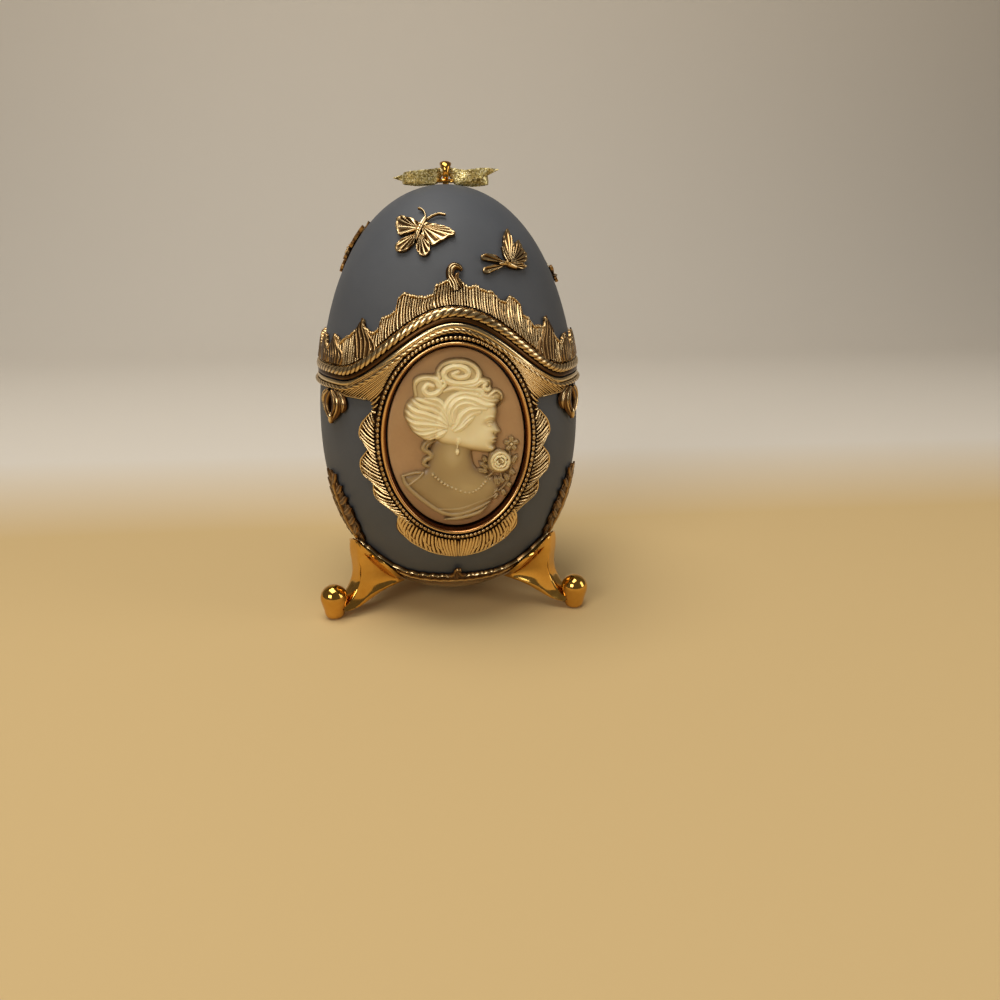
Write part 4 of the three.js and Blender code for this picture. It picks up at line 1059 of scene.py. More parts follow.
# The face's soft forms: where each lies, how wide and tall it is, how far it stands up, and its lean.
face_forms = [
    (6.9, 3.7, 1.15, 0.75, -0.55, 0.1), (5.6, 0.7, 1.7, 1.5, 0.22, 0.4), (7.9, 0.1, 0.6, 0.9, 0.12, 0),
    (8.5, 1.35, 0.35, 0.4, 0.3, 0), (7.6, -1.95, 0.8, 0.7, 0.2, 0), (3.2, -0.6, 1.8, 1.4, 0.1, 0.3),
    (7.6, 6.2, 1.2, 1.6, 0.1, 0), (7.15, 3.62, 0.52, 0.4, 0.4, 0),
]
for form in face_forms:
    bust.press(*form)
# Its fine lines: the path of each, its width, and how far it stands up.
face_lines = [
    ([(6.2, 3.6), (6.8, 4.1), (7.5, 4.1), (8, 3.7)], 0.13, 0.26),
    ([(6.3, 3.5), (7, 3.2), (7.7, 3.35)], 0.11, 0.14),
    ([(6.1, 4.7), (6.9, 5.2), (7.8, 5.15), (8.4, 4.75)], 0.22, 0.2),
    ([(8.1, 1.9), (7.95, 1.4), (8.3, 1.1)], 0.13, -0.25),
    ([(7.9, -0.05), (8.3, 0), (8.8, -0.08)], 0.1, -0.3),
    ([(8, 0.35), (8.4, 0.42), (8.8, 0.2)], 0.18, 0.16),
    ([(8, -0.45), (8.4, -0.52), (8.75, -0.4)], 0.18, 0.16),
]
for line, width, height in face_lines:
    bust.line_in(line, width, height)
hair_outline = [
    (9.1, 8.2), (10, 9), (9.9, 10.2), (9, 11), (7.6, 11.4), (7.3, 13), (6, 13.7), (5.6, 14.9), (4.1, 16.6), (1.7, 17.6),
    (-1, 17.6), (-3.1, 16.7), (-4.2, 15.3), (-4.8, 14.5), (-7.4, 14.4), (-9, 13.5), (-9.3, 11.7), (-9.2, 9.9),
    (-10.3, 8.9), (-11.1, 7.4), (-11.3, 5.6), (-10.6, 3.8), (-9.6, 2), (-8, 0.7), (-6.8, 0), (-5.2, 0.1), (-3.1, 1.6),
    (-1.9, 2.5), (-0.7, 2), (0.6, 2.6), (2, 3.8), (3.6, 5.3), (4.9, 6.5), (6.2, 7.2), (7.9, 7.5),
]
bust.area(hair_outline, 1.45, 1.9, 0.2)
for swelling in ((0.4, 15, 2.6, 1.9, 0.15), (-6, 11.8, 2.2, 2, 0.1), (-8, 5, 2.6, 3, 0.15), (2.2, 7.6, 2.8, 2, 0.15)):
    bust.press(*swelling)
bust.settle()
back_locks = [
    [(-9.6, 9.2), (-7.6, 7.6), (-5.2, 7), (-3.2, 5.7), (-2, 4)],
    [(-10.6, 8.1), (-8.8, 6.7), (-6.2, 5.9), (-3.6, 4.8), (-2.1, 3.7)],
    [(-11, 6.7), (-9.2, 5.5), (-6.5, 4.9), (-3.9, 4.1), (-2.2, 3.4)],
    [(-11, 5.2), (-9, 4.1), (-6.3, 3.8), (-3.7, 3.5), (-2.2, 3.1)],
    [(-10.4, 3.8), (-8.3, 2.7), (-5.9, 2.7), (-3.5, 3)],
    [(-9.6, 2.4), (-7.7, 1.6), (-5.6, 1.9), (-3.2, 2.7)],
    [(-8.4, 1.2), (-6.5, 0.8), (-4.7, 1.5), (-3, 2.4)],
    [(-6.8, 0.3), (-5.3, 0.6), (-3.8, 1.4), (-2.4, 2.3)],
    [(-8.8, 9.4), (-6.2, 8.5), (-3.9, 7.7), (-2.3, 5.8), (-1.6, 4)],
    [(-6.6, 9.4), (-4.2, 9), (-2.8, 7.6), (-2.2, 5.6)],
]
for k, line in enumerate(back_locks):
    bust.lock(line, 1.3, 0.6 + 0.2 * (k % 2), grooves=1, taper=0.5)
front_locks = [
    [(9.1, 8.4), (6.6, 8.8), (4.2, 10), (1.4, 10.4), (-1.2, 9.2), (-2.4, 6.9), (-1.9, 4.2)],
    [(8.6, 7.8), (6, 7.9), (3.7, 9), (1.4, 9.4), (-0.6, 8.3), (-1.6, 6.2), (-1.2, 3.8)],
    [(6.4, 7.3), (4.4, 7.7), (2.4, 8.3), (0.5, 7.9), (-0.7, 6.4), (-0.7, 4.6), (0, 3.2)],
    [(6.2, 7), (4.3, 7.1), (2.5, 6.8), (1, 5.5), (0.2, 3.9), (-0.8, 2.8)],
    [(5, 6.3), (3.4, 5.9), (2, 4.8), (0.9, 3.5), (-0.6, 2.5)],
    [(3.6, 5.3), (2.4, 4.4), (1, 3.1), (-0.4, 2.3)],
    [(-2.6, 10.9), (-0.4, 11.6), (2, 11.3), (4.4, 11), (6, 9.8), (7.8, 9.4)],
    [(1.2, 12), (3.6, 12), (5.4, 12.9), (6.6, 12.4)],
]
for k, line in enumerate(front_locks):
    bust.lock(line, 1.35, 0.65 + 0.2 * (k % 2), grooves=1, taper=0.45, samples=60)
top_curl = [
    (-3.6, 13.8), (-3.9, 15.3), (-2.5, 16.8), (0, 17.3), (2.6, 17), (4.4, 15.8), (4.9, 14.3), (4.2, 12.9), (2.4, 12.5),
    (0.2, 12.5), (-1.7, 13), (-2.6, 14.3), (-2, 15.5), (-0.3, 16.1), (1.6, 15.8), (2.6, 14.8), (2, 13.9), (0.5, 13.7),
    (-0.6, 14.4), (0.4, 15),
]
left_curl = [
    (-8.7, 10.1), (-8.9, 12.2), (-7.8, 13.6), (-5.6, 13.9), (-3.9, 13.1), (-3.3, 11.6), (-4.2, 10.5), (-5.9, 10.2),
    (-6.8, 11.2), (-6.1, 12.3), (-4.9, 12),
]
neck_curl = [
    (-5.2, 0.3), (-6.9, -0.6), (-7.3, -1.9), (-6.1, -2.7), (-5.7, -3.7), (-6.8, -4.2), (-7.3, -5.2), (-6.4, -5.8),
]
bust.lock(top_curl, 1.35, 0.8, grooves=1, taper=0.3, samples=120)
bust.lock(left_curl, 1.3, 0.75, grooves=1, taper=0.3, samples=90)
bust.lock(neck_curl, 1.25, 0.85, 0.5, taper=0.3, samples=70)
bust.lock([(x + 0.7, y - 0.3) for x, y in neck_curl[:5]], 0.8, 0.7, 0.5, taper=0.4, samples=50)
bust.lock([(7, 9.8), (8.6, 10.9), (9.9, 9.9), (9.8, 8.2), (9, 7.1)], 0.85, 0.7, taper=0.3)
for x, y, radius, start, way in ((6.5, 11.9, 1.5, 2.4, -1), (-3, 12.6, 1.2, 2, 1), (4.9, 10.2, 1.1, 3, -1)):
    bust.coil(x, y, radius, 1.2, start, way, 0.95, 0.65)
# The ear and the drop of its earring, then the necklace's pearls.
bust.lock([(-0.1, 0.9), (0.45, 0.2), (0.1, -0.7)], 1.1, 0.7, 1.7)
bust.lock([(0.1, -1), (0.05, -1.6)], 0.3, 0.4, 1.7, taper=0)
bust.lock([(0.05, -2.1), (0, -2.9)], 0.85, 0.8, 1.5, taper=0.2)
necklace = curve_through([(-5.4, -7.6), (-3.4, -9.5), (-1, -10.8), (2.3, -12), (4.6, -11.2), (6.2, -9.6)], 101)
for share in np.linspace(0, 1, 17):
    spot = necklace[round(share * 100)]
    bust.lock([spot, spot + (0.02, 0)], 0.62, 0.42, 1.2, taper=0)
# The dress: its edge down the back, the fold at the shoulder, and three folds across the breast.
bust.lock([(-12, -7.9), (-11.2, -10), (-8, -13.3), (-3.6, -16.5), (1, -17.6)], 1.0, 0.5, 0.75, taper=0.2)
bust.lock([(-11.8, -7.8), (-9.2, -7.2), (-7.4, -7.2)], 0.7, 0.45, 0.7, taper=0.3)
bust.lock([(-7.4, -7.2), (-8.8, -8.6), (-10.9, -10.1)], 0.7, 0.4, 0.85, taper=0.3)
fold_top = -14.6
for low, sag in ((fold_top, 0.3), (-15.9, 0.2), (-17, 0)):
    fold = [
        (-4.4 - 0.6 * (low - fold_top), low - 1.2), (0.5, low - 0.9 - sag), (4.4, low + 0.1),
        (8.2 + 0.7 * (low - fold_top), low + 1.6),
    ]
    bust.lock(fold, 0.85, 0.42, 0.85, taper=0.6)
# The highest places are lowered a little, so that the relief stays within the box's depth.
high_relief = 2.1
bust.height = np.where(bust.height > high_relief, high_relief + (bust.height - high_relief) * 0.66, bust.height)
bust.piece("cameo_bust_relief", ivory, "base", ["cameo_bust"], "plaque_ivory", 2.2)


# Flowers: the rose, star flower and leaves at the bust's shoulder, moulded with it in the same resin. The rose
# is three whorls of short strands on a low mound, and the leaves grow round it and along three stems.
posy = Relief(3.2, 14, -14, 1.6)
posy_stems = [
    [(11.4, -1.6), (11.9, -5), (11.8, -8), (10.6, -10.6), (8.4, -12.6)], [(9.4, -7), (9.8, -9.2), (8.6, -11.4)],
    [(8.6, -7), (6.8, -8.6), (4.6, -10)],
]
for stem in posy_stems:
    posy.lock(stem, 0.6, 0.55, 0.25, taper=0.3)
rose_mound = [(6.6, -5), (7.2, -7), (9.4, -7.9), (11.5, -7), (12.1, -4.8), (11, -2.9), (9.2, -2.2), (7.3, -3)]
posy.area(rose_mound, 0.9, 1.2, 0.3)
posy.settle()
for ring, count, width, high, skew in ((2.15, 5, 0.75, 0.5, 0.2), (1.35, 4, 0.6, 0.75, 0.9), (0.7, 2, 0.5, 0.95, 0.5)):
    for turn in np.arange(count) * 2 * math.pi / count + skew:
        heart = np.array([9.4 + 0.1 * ring, -4.95])
        petal = [
            heart + ring * (1.06 - 0.34 * abs(a)) * np.array([math.cos(turn + a), math.sin(turn + a)])
            for a in (-1, -0.4, 0.4, 1)
        ]
        posy.lock(petal, width, high, taper=0.4)
for turn in np.arange(5) * 2 * math.pi / 5 + math.pi / 2:
    heart = np.array([12, -1.2])
    tip = heart + 1.8 * np.array([math.cos(turn), math.sin(turn)])
    posy.lock([heart, mixed(heart, tip, 0.6), tip], 1.2, 0.8, 0.35, taper=0.8)
    posy.line_in([heart, tip], 0.1, -0.2)
posy.lock([(12, -1.2), (12.02, -1.2)], 0.75, 0.6, 0.9, taper=0)
leaf_spots = [
    ((7.2, -6.9), (4.8, -5.1)), ((7.1, -7.5), (4.2, -6.9)), ((7.4, -8.4), (4.6, -9.8)), ((7.9, -8.7), (6, -10.7)),
    ((8.5, -8.4), (8.8, -11)), ((9.1, -8.6), (10.6, -10.2)), ((10.6, -7.8), (11.5, -9.9)), ((11.5, -6.9), (12.9, -8.4)),
    ((12, -6), (13.4, -3.6)), ((9.1, -11.2), (7.4, -12.7)), ((10, -11.5), (10.7, -13.2)), ((9.1, -12.4), (7.9, -13.8)),
    ((10.9, -10.2), (12.2, -11)), ((6.6, -5.4), (5.7, -3.8)),
]
for root, tip in leaf_spots:
    root, tip = np.array(root), np.array(tip)
    posy.lock([root, mixed(root, tip, 0.5), tip], 1.25, 0.7, 0.3, taper=0.8)
    posy.line_in([root, mixed(root, tip, 0.5), tip], 0.09, -0.18)
posy.piece("cameo_posy_relief", ivory, "base", ["cameo_flowers"], "plaque_ivory", 1.8)


# Pendants: a bell-like pair of leaves folded round a hollow, cast with a drop at the tip, under the rope
# where the web of the surround ends on each side.
pendant_azimuth = 58
pendant_top = seam_level - body_rim_width - gap
pendant_drop = 6.6
# Each leaf of a pendant: its path beside and below the pendant's top, then how the frond is drawn.
pendant_leaves = [
    ([(2.2, 0), (6.8, 0.9), (8.6, 2.6), (7.4, 4.3)],
     {"width": 1.9, "height": 0.7, "lift": 0.3, "grooves": 3, "samples": 24, "root": 0.5, "tip": 0.2}),
    ([(1.8, 0), (5.2, 1.6), (5.2, 4), (1, 6.7)],
     {"width": 1.7, "height": 0.9, "lift": 0.45, "grooves": 2, "samples": 24, "root": 0.6, "tip": 0.15}),
    ([(0.4, 0), (2.6, 1.6), (3.1, 3.4), (0.6, 5.6)],
     {"width": 1.1, "height": 0.75, "lift": 0.75, "grooves": 1, "samples": 20, "root": 0.5, "tip": 0.2}),
]
for side, name in ((-1, "left"), (1, "right")):
    bell = Casting()
    middle = side * pendant_azimuth
    down = np.linspace(0, 1, 24)[:, None]
    aside = np.linspace(-1, 1, 25)[None, :]
    bell_half = 3.2 * np.sin(np.pi * (0.3 + 0.68 * down)) * (1 - 0.25 * down)
    bell_level = pendant_top - pendant_drop * down + 0 * aside
    bell_out = gap + 0.25 + 0.75 * np.abs(aside) ** 1.5 * (1 - down * 0.5)
    bell_azimuth = middle + np.degrees(aside * bell_half / egg_profile(latitude(bell_level))[0])
    bell_face = at_height(bell_azimuth, bell_level, bell_out)
    bell.patch(bell_face, np.abs(aside) * 0.7 + 0 * down)
    skirt = at_height(bell_azimuth, bell_level, gap)
    for edge in (0, -1):
        bell.patch(np.stack([skirt[:, edge], bell_face[:, edge]]), 0.3)
    for way_out in (-1, 1):
        for path, looks in pendant_leaves:
            frond(bell, [(middle + way_out * x, pendant_top - below) for x, below in path], **looks)
    drop = [(middle, pendant_top - below) for below in (4.8, 6.2, 7.3)]
    frond(bell, drop, 1.3, 0.9, 0.5, across=9, root=0.25, tip=0.25)
    bell.piece("pendant_leaves_" + name, gilt, "base", ["pendant_" + name], "gilt", 60)


# Collar: a spun cup under the egg with a cast leafy edge, which climbs at each leg and curls over at the front.
# A band of fine ribs and a bead run round under the edge, and the egg's screw goes through the middle.
leg_azimuths = {"left": -60, "right": 60, "back": 180}
collar_low = 12.2
collar_rise = 7
collar_spread = 16
collar_thickness = 1.2


def from_leg(azimuth):
    return np.abs((np.asarray(azimuth, float) % 120) - 60)


def collar_rim(azimuth):
    near = from_leg(azimuth) / collar_spread
    return collar_low + collar_rise * np.exp(-near * near)


collar = Casting()
collar_azimuth = around(1080)
scallop = 0.34 * np.abs(np.sin(np.radians(collar_azimuth) * 27 + 0.8 * np.sin(np.radians(collar_azimuth) * 5)))
collar_top = latitude(collar_rim(collar_azimuth) - 0.1 + scallop)
collar_rows = [
    (0, 0, 0.2), (0.3, 0, 0.2), (0.6, 0, 0.2), (0.85, 0, 0.2), (1, 0, 0.1), (1, 0.5, 0.6), (0.997, 0.68, 1.0),
    (0.988, 0.72, 1.0), (0.978, 0.6, 0.5), (0.968, 0.4, 0.05), (0.955, 0.36, 0.0), (0.94, 0.42, 0.3), (0.92, 0.46, 0.4),
    (0.9, 0.42, 0.2), (0.885, 0.4, 0.0), (0.877, 0.62, 0.5), (0.866, 0.8, 1.0), (0.852, 0.82, 1.0), (0.84, 0.7, 0.5),
    (0.83, 0.66, 0.4), (0.8, 0.74, 0.6), (0.7, 0.85, 0.7), (0.6, 0.9, 0.7), (0.5, 0.95, 0.7), (0.4, 1, 0.7),
    (0.3, 1, 0.7), (0.2, 1, 0.7), (0.1, 1, 0.7), (0, 1, 0.7),
]
collar_grid = []
for share, stand, _ in collar_rows:
    at = mixed(screw_hole, collar_top, share)
    relief = 0.16 * np.abs(np.sin(np.radians(collar_azimuth) * 40 + share * 30)) if 0.89 < share < 0.96 else 0
    thick = gap + collar_thickness * stand + relief
    collar_grid.append(on_egg(collar_azimuth, at, thick))
collar.patch(np.stack(collar_grid), np.array([crown for *_, crown in collar_rows])[:, None], loop_u=True, loop_v=True)
for side in (-1, 1):
    path = on_side(side, [(5.5, 12.3), (2.8, 12.4), (0.6, 13.4), (-0.6, 14.4)])
    frond(collar, path, 1.3, 0.8, 0.6, grooves=1, samples=18, root=0.3, tip=0.2)
collar_curl = [(-0.4, 12), (-1.1, 13.5), (-0.5, 14.9), (1.1, 15), (1.3, 14.1)]
frond(collar, collar_curl, 1.0, 0.9, 0.8, grooves=1, samples=26, tip=0.35)
collar.piece("stand_collar_cup", gilt, "base", ["stand_collar"], "gilt", 50)


# Legs: three polished cabriole castings brazed under the collar. Each spreads into a broad hollow skirt that
# wraps the cup, and runs down to a toe on which a ball stands; the toe has a small flat where it meets the table.
polished = Finish("polished_gilt")
polished_cloud = polished.noise(70, 3, 0.5)
polished_wear = polished.noise(900, 4, 0.7)
polished.surface(
    Base_Color=polished.mottle(
        polished_cloud * 0.7 + polished_wear * 0.3, 0.3, 0.7, (200, 146, 60), (230, 184, 98),
    ),
    Metallic=1,
    Roughness=polished.reach(polished_wear, 0.35, 0.8) * 0.1 + 0.07,
)
polished.bump(polished_cloud + polished_wear * 0.05, 0.03, 0.0002)

leg_reach = 34.3
ball_radius = 3.25
ball_level = 5.3
skirt_edge = 0.9
skirt_rise = 2.2


def cup_reach(level, aside):
    """How far out the cup's outside stands at a height and a distance to one side."""
    return -on_front(aside, level, gap + collar_thickness)[..., 1]


def turning(count):
    """A full turn in radians, as a number of even steps."""
    return np.linspace(0, 2 * np.pi, count + 1)[:-1]


def lathe(profile, turn, place=(0, 0, 0), order=(0, 1, 2)):
    """Rings of (radius, level) turned about an axis at a place; the order says which way the axis lies."""
    rings = [np.stack([r * np.sin(turn), r * np.cos(turn), level + 0 * turn], axis=-1) for r, level in profile]
    return np.stack(rings)[..., order] + place


leg_steps = 80
skirt_steps = 12
# Down a leg: share of the way from the cup's shoulder out to the ball, height, half width of its flat face and of
# its skirt, how far the skirt's edge drops and falls back, thickness, and how far the back hangs under the face.
leg_line = [
    (-0.12, 18.9, 0.5, 0.9, 0, 0.2, 3.4, 0),
    (-0.02, 18.75, 0.9, 1.8, 0.1, 0.4, 4, 0),
    (0.05, 18.2, 2, 4.2, 0.5, 1.6, 5, 0),
    (0.08, 16.8, 2.8, 7, 1.3, 5, 5.5, 0),
    (0.1, 14.8, 2.7, 7.6, 2.2, 8, 6, 0),
    (0.07, 12.2, 2.5, 6.8, 2.6, 11, 6.5, 0),
    (0.08, 9.9, 2.4, 4.9, 2.2, 10.5, 6.2, 0.8),
    (0.18, 7.7, 2.3, 3.7, 2.1, 4.4, 4.8, 1),
    (0.38, 5.6, 2.3, 3.1, 1.9, 2.1, 3.8, 1),
    (0.61, 4, 2.4, 3, 1.5, 0.9, 3.2, 1.2),
    (0.84, 3.1, 2.4, 2.7, 1, 0.3, 2.4, 1.2),
]
toe_turns = [
    (0, 0), (0.3, 0), (0.42, 0.01), (0.54, 0.045), (0.64, 0.1), (0.71, 0.18), (0.75, 0.27), (0.775, 0.36), (0.8, 0.45),
    (0.845, 0.56), (0.9, 0.68), (0.952, 0.8), (0.987, 0.9),
]
foot_turns = [(share * ball_radius, up * ball_level) for share, up in toe_turns]
foot_turns += [
    (math.cos(k) * ball_radius, ball_level + math.sin(k) * ball_radius) for k in np.linspace(0, math.pi / 2, 22)
]
shoulder_level = 18.7
leg_shoulder = float(cup_reach(shoulder_level, 0))
for side, azimuth in leg_azimuths.items():
    leg = Casting()
    way, level, face, half, drop, recede, thick, hang = curve_through(leg_line, leg_steps).T[..., None]
    ridge = mixed(leg_shoulder, leg_reach, way)
    face_share = np.linspace(-1, 1, 11)[None, 1:-1]
    skirt = np.linspace(0, 1, skirt_steps)[None]
    outer = np.concatenate([skirt - 1, 0 * face_share, skirt], axis=1) + 0 * level
    across = np.concatenate([
        -face + (half - face) * (skirt - 1), face * face_share, face + (half - face) * skirt,
    ], axis=1)
    share = np.abs(outer)
    turned = np.clip(1 - share / 0.12, 0, 1)
    rounding = 0.28 * np.where(share > 0, turned ** 2, np.abs(across / face) ** 6)
    down = level - drop * share
    front = ridge - recede * (1 - (1 - share) ** 1.5) - rounding
    held = cup_reach(down, across) + gap + skirt_edge * np.clip((shoulder_level - level) / skirt_rise, 0, 1)
    front = np.maximum(front, held) + 0.25 * np.exp(-np.abs(front - held) / 0.5)
    back = np.minimum(front - 0.4, front - thick * (1 - share / 2))
    back_down = down - hang * (1 - share) ** 2
    cup_in = cup_reach(back_down, across) + 0.1
    back = np.where(level > 8.6, np.maximum(back, np.minimum(cup_in, front - 0.4)), back)
    outside = np.stack([across, -front, down], axis=-1)
    inside = np.stack([across, -back, back_down], axis=-1)[:, ::-1]
    edge_right = mixed(outside[:, -1:], inside[:, :1], 0.5) + (0.12, 0, 0)
    edge_left = mixed(outside[:, :1], inside[:, -1:], 0.5) - (0.12, 0, 0)
    rings = np.concatenate([outside, edge_right, inside, edge_left], axis=1).transpose(1, 0, 2)
    leg.patch(rings, 0.9, loop_v=True)
    for end in (0, -1):
        ring = rings[:, end]
        middle = np.broadcast_to(ring.mean(axis=0), ring.shape)
        leg.patch(np.stack([middle, ring]), 0.8, loop_u=True)
    leg.patch(lathe(foot_turns, turning(56), (0, -leg_reach, 0)), loop_u=True)
    swing = math.radians(azimuth)
    spin = np.array([[math.cos(swing), math.sin(swing), 0], [-math.sin(swing), math.cos(swing), 0], [0, 0, 1]])
    leg.points = [points @ spin for points in leg.points]
    leg.piece("stand_leg_" + side + "_polished", polished, "base", ["stand_leg_" + side], "polished_gilt", 45)


# Sprays: a long leaf over each leg, cast with a keel, side ribs and a notched edge, laid up the egg's side from
# the collar's edge. The two beside the cameo lean away from it.
spray_length = 17
spray_half = 5.2
vein_reach = 4.4
egg_near = 26


def leaf_swell(share):
    """How a leaf's width changes up its length: narrow at the foot, pointed at the tip."""
    return np.sin(np.pi * mixed(0.22, 0.985, share))


for side, azimuth in leg_azimuths.items():
    spray = Casting()
    lean = {"left": -5, "right": 5, "back": 0}[side]
    foot = float(collar_rim(azimuth)) + gap
    level = np.linspace(foot, foot + spray_length, 60)[:, None]
    share = (level - foot) / spray_length
    wave = 1 - 0.17 * (1 - np.abs(np.sin(np.pi * (share * 5 + 0.15)))) ** 1.2
    half = spray_half * np.maximum(leaf_swell(share) * wave, 0.05)
    u = np.linspace(-1, 1, 33)[None, :]
    ribs = np.abs(np.sin(np.pi * (share * 11 - np.abs(u) * 1.6)))
    stand = 0.3 + 0.36 * ribs * np.abs(u) ** 0.3 * (1 - np.abs(u) ** 6) + 0.25 * (np.abs(u) > 0.9)
    stand = stand + 0.65 * np.exp(-((u * half / 0.55) ** 2)) * np.clip((1 - share) * 4, 0, 1)
    aside = np.degrees(u * half / egg_profile(latitude(level))[0])
    at = azimuth + lean * share + aside
    spray_face, spray_back = [at_height(at, level + 0 * u, gap + off) for off in (stand, 0 * stand)]
    spray.patch(spray_face, np.clip(stand - 0.25, 0, 1))
    spray.patch(spray_back, 0.0)
    for edge in (0, -1):
        spray.patch(np.stack([spray_face[:, edge], spray_back[:, edge]], axis=1), 0.3)
        spray.patch(np.stack([spray_face[edge], spray_back[edge]]), 0.3)
    for lobe in np.linspace(0.08, 0.82, 6):
        for turn in (-1, 1):
            aside = math.degrees(float(vein_reach * leaf_swell(lobe)) / egg_near)
            at = azimuth + lean * lobe
            level_at = foot + spray_length * lobe
            path = [(at, level_at), (at + turn * aside * 0.55, level_at + 1.3), (at + turn * aside, level_at + 3)]
            frond(spray, path, 1.5, 0.55, 0.4, grooves=1, root=0.4, tip=0.3)
    spray.piece("leaf_spray_" + side, gilt, "base", ["spray_" + side], "gilt", 60)


# Butterflies: four thin castings glued on the lid, two in front and one on each side, one pair with wings
# spread and one with wings raised. Each wing is ribbed from its root and has a rolled edge.
spread_middle = (-18.5, 89.4)
spread_wings = [
    ((-19.6, 89.7), [
        (-18.9, 90.7), (-25.8, 91.7), (-34, 92.3), (-37.7, 92.2), (-37.8, 91.2), (-34.6, 89.5), (-31.3, 88.5),
        (-26.3, 88.9), (-20.5, 89.2),
    ], 7),
    ((-20, 88.7), [
        (-20.3, 88.9), (-25.8, 88.2), (-30.2, 87.4), (-31.9, 86.4), (-31.1, 85.5), (-28.1, 85.2), (-24.6, 85.6),
        (-21.2, 86.9),
    ], 5),
    ((-17.6, 90), [
        (-15.9, 90.9), (-10.3, 90.6), (-5.4, 90.3), (-1.5, 89.9), (0.8, 89.4), (2.2, 88.7), (-1.7, 88.2), (-6.1, 87.3),
        (-10.4, 86.5), (-12, 86.9), (-16.5, 88.6),
    ], 9),
    ((-18, 88.6), [
        (-16.5, 88.9), (-12.6, 86.9), (-11.8, 85.7), (-13, 84.7), (-15.4, 84.4), (-17.7, 84.9), (-19.4, 86.1),
        (-19.8, 87.9),
    ], 6),
]
spread_body = [(-20.1, 87.4), (-19.5, 89.2), (-18, 90.8), (-16.5, 91.8)]
spread_feelers = [
    [(-16.5, 91.8), (-18.5, 93), (-21.5, 93.7), (-24.9, 94)], [(-15.9, 91.6), (-13, 92.3), (-8.3, 92.8), (-3.3, 92.6)],
]
raised_middle = (30, 83.5)
raised_wings = [
    ((30, 83.3), [
        (29.5, 84.3), (29.3, 85.7), (31.2, 87.6), (34.4, 89), (38.1, 89.8), (38.6, 88.6), (37.3, 87), (34, 85),
    ], 5),
    ((30.6, 82.9), [
        (31.5, 84), (34.8, 85.7), (39.2, 87), (43.6, 87.6), (44.1, 86.6), (44.4, 85.6), (45.5, 84.8), (43.8, 83.6),
        (40.4, 83), (34.9, 82.8),
    ], 9),
    ((29.5, 82.4), [(29.1, 82.7), (33.5, 83), (39.9, 82.6), (41.2, 82.1), (37.6, 81.7), (32.5, 81.9)], 4),
    ((27.5, 82.9), [(27.4, 83), (23.6, 84.4), (19.2, 84.8), (15.6, 84.7), (14.8, 83.9), (18.4, 83.4), (23.6, 83.1)], 3),
    ((27.2, 82.5), [
        (27.2, 82.7), (22.5, 82.7), (17.1, 82.4), (14.6, 81.8), (15.3, 81.1), (18.2, 81.1), (22.9, 81.9),
    ], 3),
]
raised_body = [(23.4, 82.6), (27.2, 82.8), (29.8, 82.4), (33, 81.9)]
raised_feelers = [[(29.6, 83.2), (28.6, 84.6), (28.8, 86.2)]]
spread_form = (spread_middle, spread_wings, spread_body, spread_feelers)
raised_form = (raised_middle, raised_wings, raised_body, raised_feelers)


def on_lid(points, middle, place, turn):
    """Points drawn round one place of the lid, carried to another and turned there, as (azimuth, height)."""
    points = np.asarray(points, float)
    radius, facing_out, _ = egg_profile(latitude(middle[1]))
    x = np.radians(points[..., 0] - middle[0]) * radius
    y = (points[..., 1] - middle[1]) / facing_out
    lean = math.radians(turn)
    x, y = x * math.cos(lean) + y * math.sin(lean), y * math.cos(lean) - x * math.sin(lean)
    radius, facing_out, _ = egg_profile(latitude(place[1]))
    level = place[1] + y * facing_out
    near = np.maximum(egg_profile(latitude(level))[0], radius / 2)
    if turn == 0 and place == middle:
        near = radius
    return np.stack([place[0] + np.degrees(x / near), level], axis=-1)


wing_rows = np.array([0, 0.12, 0.25, 0.4, 0.55, 0.7, 0.8, 0.87, 0.92, 0.96, 0.99, 1, 1])[:, None]
wing_columns = 90
wing_rib = 0.34
wing_lifts = (0.12, 0, 0.12, 0.05, 0)


def butterfly(node, place, turn, form):
    middle, wings, body, feelers = form
    made = Casting()
    for lift, (root, edge, ribs) in zip(wing_lifts, wings):
        line = curve_through(on_lid(edge, middle, place, turn), wing_columns)
        root = on_lid([root], middle, place, turn)
        spot = mixed(root[None], line[None], wing_rows[..., None])
        rib = np.abs(np.cos(np.pi * ribs * np.linspace(0, 1, wing_columns)[None, :])) ** 0.8
        rim = np.exp(-(((wing_rows - 0.95) / 0.045) ** 2))
        stand = 0.3 + lift + 0.25 * (1 - wing_rows) ** 2
        stand = stand + wing_rib * (rib * (1 - rim) * np.minimum(1, wing_rows * 4) + rim)
        stand[-1] = 0
        face = at_height(spot[..., 0], spot[..., 1], gap + stand)
        made.patch(face, np.clip(np.maximum(rib * 0.85 * (1 - rim), rim), 0, 1))
        for end in (0, -1):
            foot = at_height(spot[:, end, 0], spot[:, end, 1], gap)
            made.patch(np.stack([face[:, end], foot]), 0.3)
    trunk = on_lid(body, middle, place, turn)
    frond(made, trunk, 1.15, 0.85, 0.55, across=11, samples=28, root=0.35, tip=0.5)
    for share in (0.3, 0.42, 0.54):
        ring = curve_through(trunk, 50)[round(share * 49)]
        frond(made, [ring - (1.2, 0.1), ring, ring + (1.2, -0.1)], 0.35, 0.35, 1.25, across=5, samples=8)
    for feeler in feelers:
        frond(made, on_lid(feeler, middle, place, turn), 0.42, 0.5, 0.25, samples=20, root=1, tip=0.7)
    made.piece(node + "_cast", gilt, "lid", [node], "gilt", 60)


butterfly("butterfly_front_left", spread_middle, 0, spread_form)
butterfly("butterfly_side_left", (-100, 86), -55, spread_form)
butterfly("butterfly_front_right", raised_middle, 0, raised_form)
butterfly("butterfly_side_right", (98, 80), 10, raised_form)


